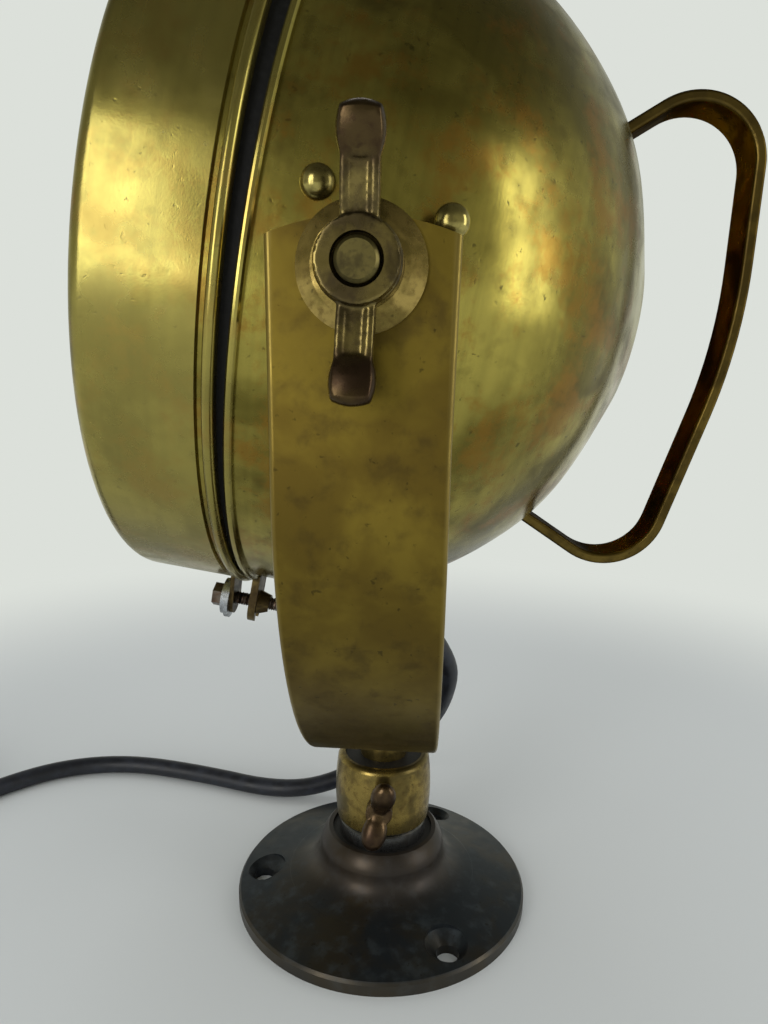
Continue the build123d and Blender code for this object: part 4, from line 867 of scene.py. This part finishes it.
# Mains cord: round rubber-sheathed cable, nine millimetres thick. It hangs out of the gland under
# the drum, passes behind the yoke and the stem, lies on the table, and leaves the picture at the
# left, where its spare length is wound in a coil of a little over four turns beside its plug.
CORD_RADIUS = 0.0045
GLAND_EXIT = (0.013, 0.024, 0.132)
COIL_CENTRE = Vector((-0.284, 0.0266))
COIL_MIDDLE = 0.050
COIL_IN = radians(243)
COIL_OUT = radians(180)
CORD_LIE = 0.0046
COIL_STEPS = 16

hanging = [
    GLAND_EXIT,
    (0.0130, 0.0240, 0.1180),
    (0.0285, 0.0310, 0.0930),
    (0.0270, 0.0430, 0.0740),
    (0.0225, 0.0570, 0.0560),
    (0.0140, 0.0700, 0.0377),
    (-0.0080, 0.0760, 0.0200),
    (-0.0340, 0.0680, 0.0070),
    (-0.0620, 0.0645, CORD_LIE),
    (-0.1040, 0.0770, CORD_LIE),
    (-0.1500, 0.0850, CORD_LIE),
    (-0.1860, 0.0750, CORD_LIE),
]


def coil_point(angle, radius, high):
    """A point on the coil, which is wound clockwise seen from above."""
    return (COIL_CENTRE.x + radius * cos(angle), COIL_CENTRE.y + radius * sin(angle), high)


outer_turn = COIL_MIDDLE + CORD_RADIUS
inner_turn = COIL_MIDDLE - CORD_RADIUS
start_angle = COIL_IN - radians(270)
whole_sweep = 2 * pi * 4 + COIL_IN - COIL_OUT
entry_way = Vector((cos(COIL_IN), sin(COIL_IN), 0))
entry = Vector(coil_point(start_angle, outer_turn - 0.0001, CORD_LIE))
lead_in = [entry - entry_way * d for d in (0.054, 0.034, 0.012)]
# (turns made, radius, height): out and in on the table, then in and out on top
lays = [
    (0.0, outer_turn, CORD_LIE),
    (0.9, outer_turn, CORD_LIE),
    (1.2, inner_turn, CORD_LIE),
    (2.0, inner_turn, CORD_LIE),
    (2.25, inner_turn, CORD_LIE + 2 * CORD_RADIUS - 0.0002),
    (2.9, inner_turn, CORD_LIE + 2 * CORD_RADIUS - 0.0002),
    (3.2, outer_turn, CORD_LIE + 2 * CORD_RADIUS - 0.0002),
    (5.0, outer_turn, CORD_LIE + 2 * CORD_RADIUS - 0.0002),
]


def laid(turns):
    """Radius and height of the cord after so many turns."""
    for (t0, r0, h0), (t1, r1, h1) in zip(lays, lays[1:]):
        if turns <= t1:
            share = (turns - t0) / (t1 - t0)
            share = share * share * (3 - 2 * share)
            return r0 + (r1 - r0) * share, h0 + (h1 - h0) * share


coil = []
coil_steps = round(whole_sweep / (2 * pi) * COIL_STEPS)
for step in range(1, coil_steps + 1):
    gone = whole_sweep * step / coil_steps
    radius, high = laid(gone / (2 * pi))
    coil.append(coil_point(start_angle - gone, radius / cos(pi / COIL_STEPS) ** 0.5, high))
tail_way = Vector((cos(COIL_OUT), sin(COIL_OUT), 0))
tail_start = Vector(coil_point(COIL_OUT - radians(270), outer_turn - 0.0001, 0.0134))
PLUG_AXIS_HEIGHT = 0.0175
TAIL_LENGTH = 0.046
tail = [
    tail_start + tail_way * 0.016,
    tail_start + tail_way * 0.034,
    tail_start + tail_way * (0.034 + 0.33 * TAIL_LENGTH),
    tail_start + tail_way * (0.034 + 0.67 * TAIL_LENGTH) + Vector((0, 0, PLUG_AXIS_HEIGHT - 0.0134)),
    tail_start + tail_way * (0.034 + TAIL_LENGTH) + Vector((0, 0, PLUG_AXIS_HEIGHT - 0.0134)),
]

route = [tuple(p) for p in [*hanging, *lead_in, *coil, *tail]]
cord_curve = bpy.data.curves.new("mains_cord", "CURVE")
cord_curve.dimensions = "3D"
cord_line = cord_curve.splines.new("NURBS")
cord_line.points.add(len(route) - 1)
for point, place in zip(cord_line.points, route):
    point.co = (*place, 1.0)
cord_line.order_u = 3
cord_line.use_endpoint_u = True
cord_line.resolution_u = 6
cord_curve.bevel_depth = CORD_RADIUS
cord_curve.bevel_resolution = 5
cord_curve.use_fill_caps = True
cord_run = bpy.data.objects.new("cord_run", cord_curve)
scene.collection.objects.link(cord_run)
tube = as_mesh(cord_run)
tube.name = "mains_cord"
tube.shade_smooth()
tube.materials.clear()
cord_curve.bevel_depth = 0.0
centre_line = as_mesh(cord_run)
bpy.data.objects.remove(cord_run)
bpy.data.meshes.remove(centre_line)
mains_cord = bpy.data.objects.new("mains_cord", tube)
scene.collection.objects.link(mains_cord)

# The rubber of the sheath and the plug is moulded: blue-black, scuffed paler in patches, with a
# pebbled skin that is drawn coarser than the real one.
sheath, tree, shader, place = new_material("moulded_rubber_sheath")
SCUFF_SIZE = 0.006
PEBBLE_SIZE = 0.0007
values = {"Vector": place, "Scale": 1 / SCUFF_SIZE, "Detail": 5.0, "Roughness": 0.65}
scuff = add_node(tree, "ShaderNodeTexNoise", inputs=values)
values = {"Vector": place, "Scale": 1 / PEBBLE_SIZE, "Detail": 2.0}
pebble = add_node(tree, "ShaderNodeTexNoise", inputs=values)
pebbled = add_node(tree, "ShaderNodeBump", inputs={"Strength": 0.12, "Distance": 0.00008, "Height": pebble})
colour = tinted(tree, "#15171E", "#262A35", scuff, 0.4, 0.75)
gloss = add_node(tree, "ShaderNodeMapRange", EASED, [scuff, 0.35, 0.75, 0.40, 0.58])
fill(tree, shader, {"Base Color": colour, "Roughness": gloss, "Normal": pebbled})
tube.materials.append(sheath)
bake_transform(mains_cord)
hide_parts("cord_hanging", "cord_coil", "cord_tail")

# Plug: a round two-pin rubber plug moulded on the cord, ribbed for the fingers, behind it a
# tapered sleeve with rings that keeps the cord from bending sharply where it enters.
PLUG_AT = Vector((-0.364, -0.0278, PLUG_AXIS_HEIGHT))
RELIEF_LENGTH = 0.026
PLUG_RADIUS = 0.0175
PLUG_LENGTH = 0.038
plug_place = Matrix.Translation(PLUG_AT) @ Matrix.Rotation(radians(-90), 4, "Y")
plug_profile = [
    (RELIEF_LENGTH, 0),
    (RELIEF_LENGTH, 0.0085),
    (RELIEF_LENGTH + 0.001, 0.0097),
    (RELIEF_LENGTH + 0.005, 0.0122),
    (RELIEF_LENGTH + 0.010, 0.0144),
    (RELIEF_LENGTH + 0.014, 0.0153),
    (RELIEF_LENGTH + 0.031, 0.0156),
    (RELIEF_LENGTH + 0.0318, 0.0164),
    (RELIEF_LENGTH + 0.0326, 0.0173),
    (RELIEF_LENGTH + 0.0336, PLUG_RADIUS),
    (RELIEF_LENGTH + PLUG_LENGTH - 0.0008, PLUG_RADIUS),
    (RELIEF_LENGTH + PLUG_LENGTH, PLUG_RADIUS - 0.0008),
    (RELIEF_LENGTH + PLUG_LENGTH, 0),
]
plug = lathed("plug_body_moulded", plug_profile, plug_place)
plug.data.materials.append(sheath)
tree, given = new_tree(
    "grip_ribs",
    {
        "Count": "NodeSocketInt",
        "Reach": NUMBER,
        "Rib": "NodeSocketVector",
        "Middle": NUMBER,
        "Material": "NodeSocketMaterial",
    },
)
values = {"Vertices": given["Count"], "Radius": given["Reach"]}
ring = add_node(tree, "GeometryNodeMeshCircle", inputs=values)
bead = add_node(tree, "GeometryNodeMeshUVSphere", inputs={"Segments": 12, "Rings": 8, "Radius": 1.0})
rib = add_node(tree, "GeometryNodeTransform", inputs={"Geometry": bead, "Scale": given["Rib"]})
ribs = add_node(tree, "GeometryNodeInstanceOnPoints", inputs={"Points": ring, "Instance": rib})
lift = add_node(tree, "ShaderNodeCombineXYZ", inputs={2: given["Middle"]})
lifted = add_node(tree, "GeometryNodeTransform", inputs={"Geometry": ribs, "Translation": lift})
close_tree(tree, [lifted], given["Material"])
plug_ribs = grown(
    "plug_grip_ribs",
    tree,
    {
        "Count": 22,
        "Reach": 0.0153,
        "Rib": (0.0010, 0.0010, 0.0080),
        "Middle": RELIEF_LENGTH + 0.0225,
        "Material": sheath,
    },
)
plug_ribs.data.transform(plug_place)
relief_profile = [(0, 0), (0, 0.0050)]
RELIEF_RINGS = 7
for ring in range(RELIEF_RINGS):
    start = RELIEF_LENGTH * ring / RELIEF_RINGS
    wide = 0.0053 + 0.0022 * ring / RELIEF_RINGS
    relief_profile += [
        (start + 0.0004, wide),
        (start + 0.0021, wide + 0.0004),
        (start + 0.0027, wide - 0.0008),
        (start + RELIEF_LENGTH / RELIEF_RINGS - 0.0003, wide - 0.0006),
    ]
relief_profile.append((RELIEF_LENGTH, 0))
relief = lathed("strain_relief_ringed", relief_profile, plug_place, 40)
relief.data.materials.append(sheath)
for piece, node in ((plug, "plug_body"), (plug_ribs, None), (relief, "strain_relief")):
    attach(piece, "yoke")
    if node:
        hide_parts(node)
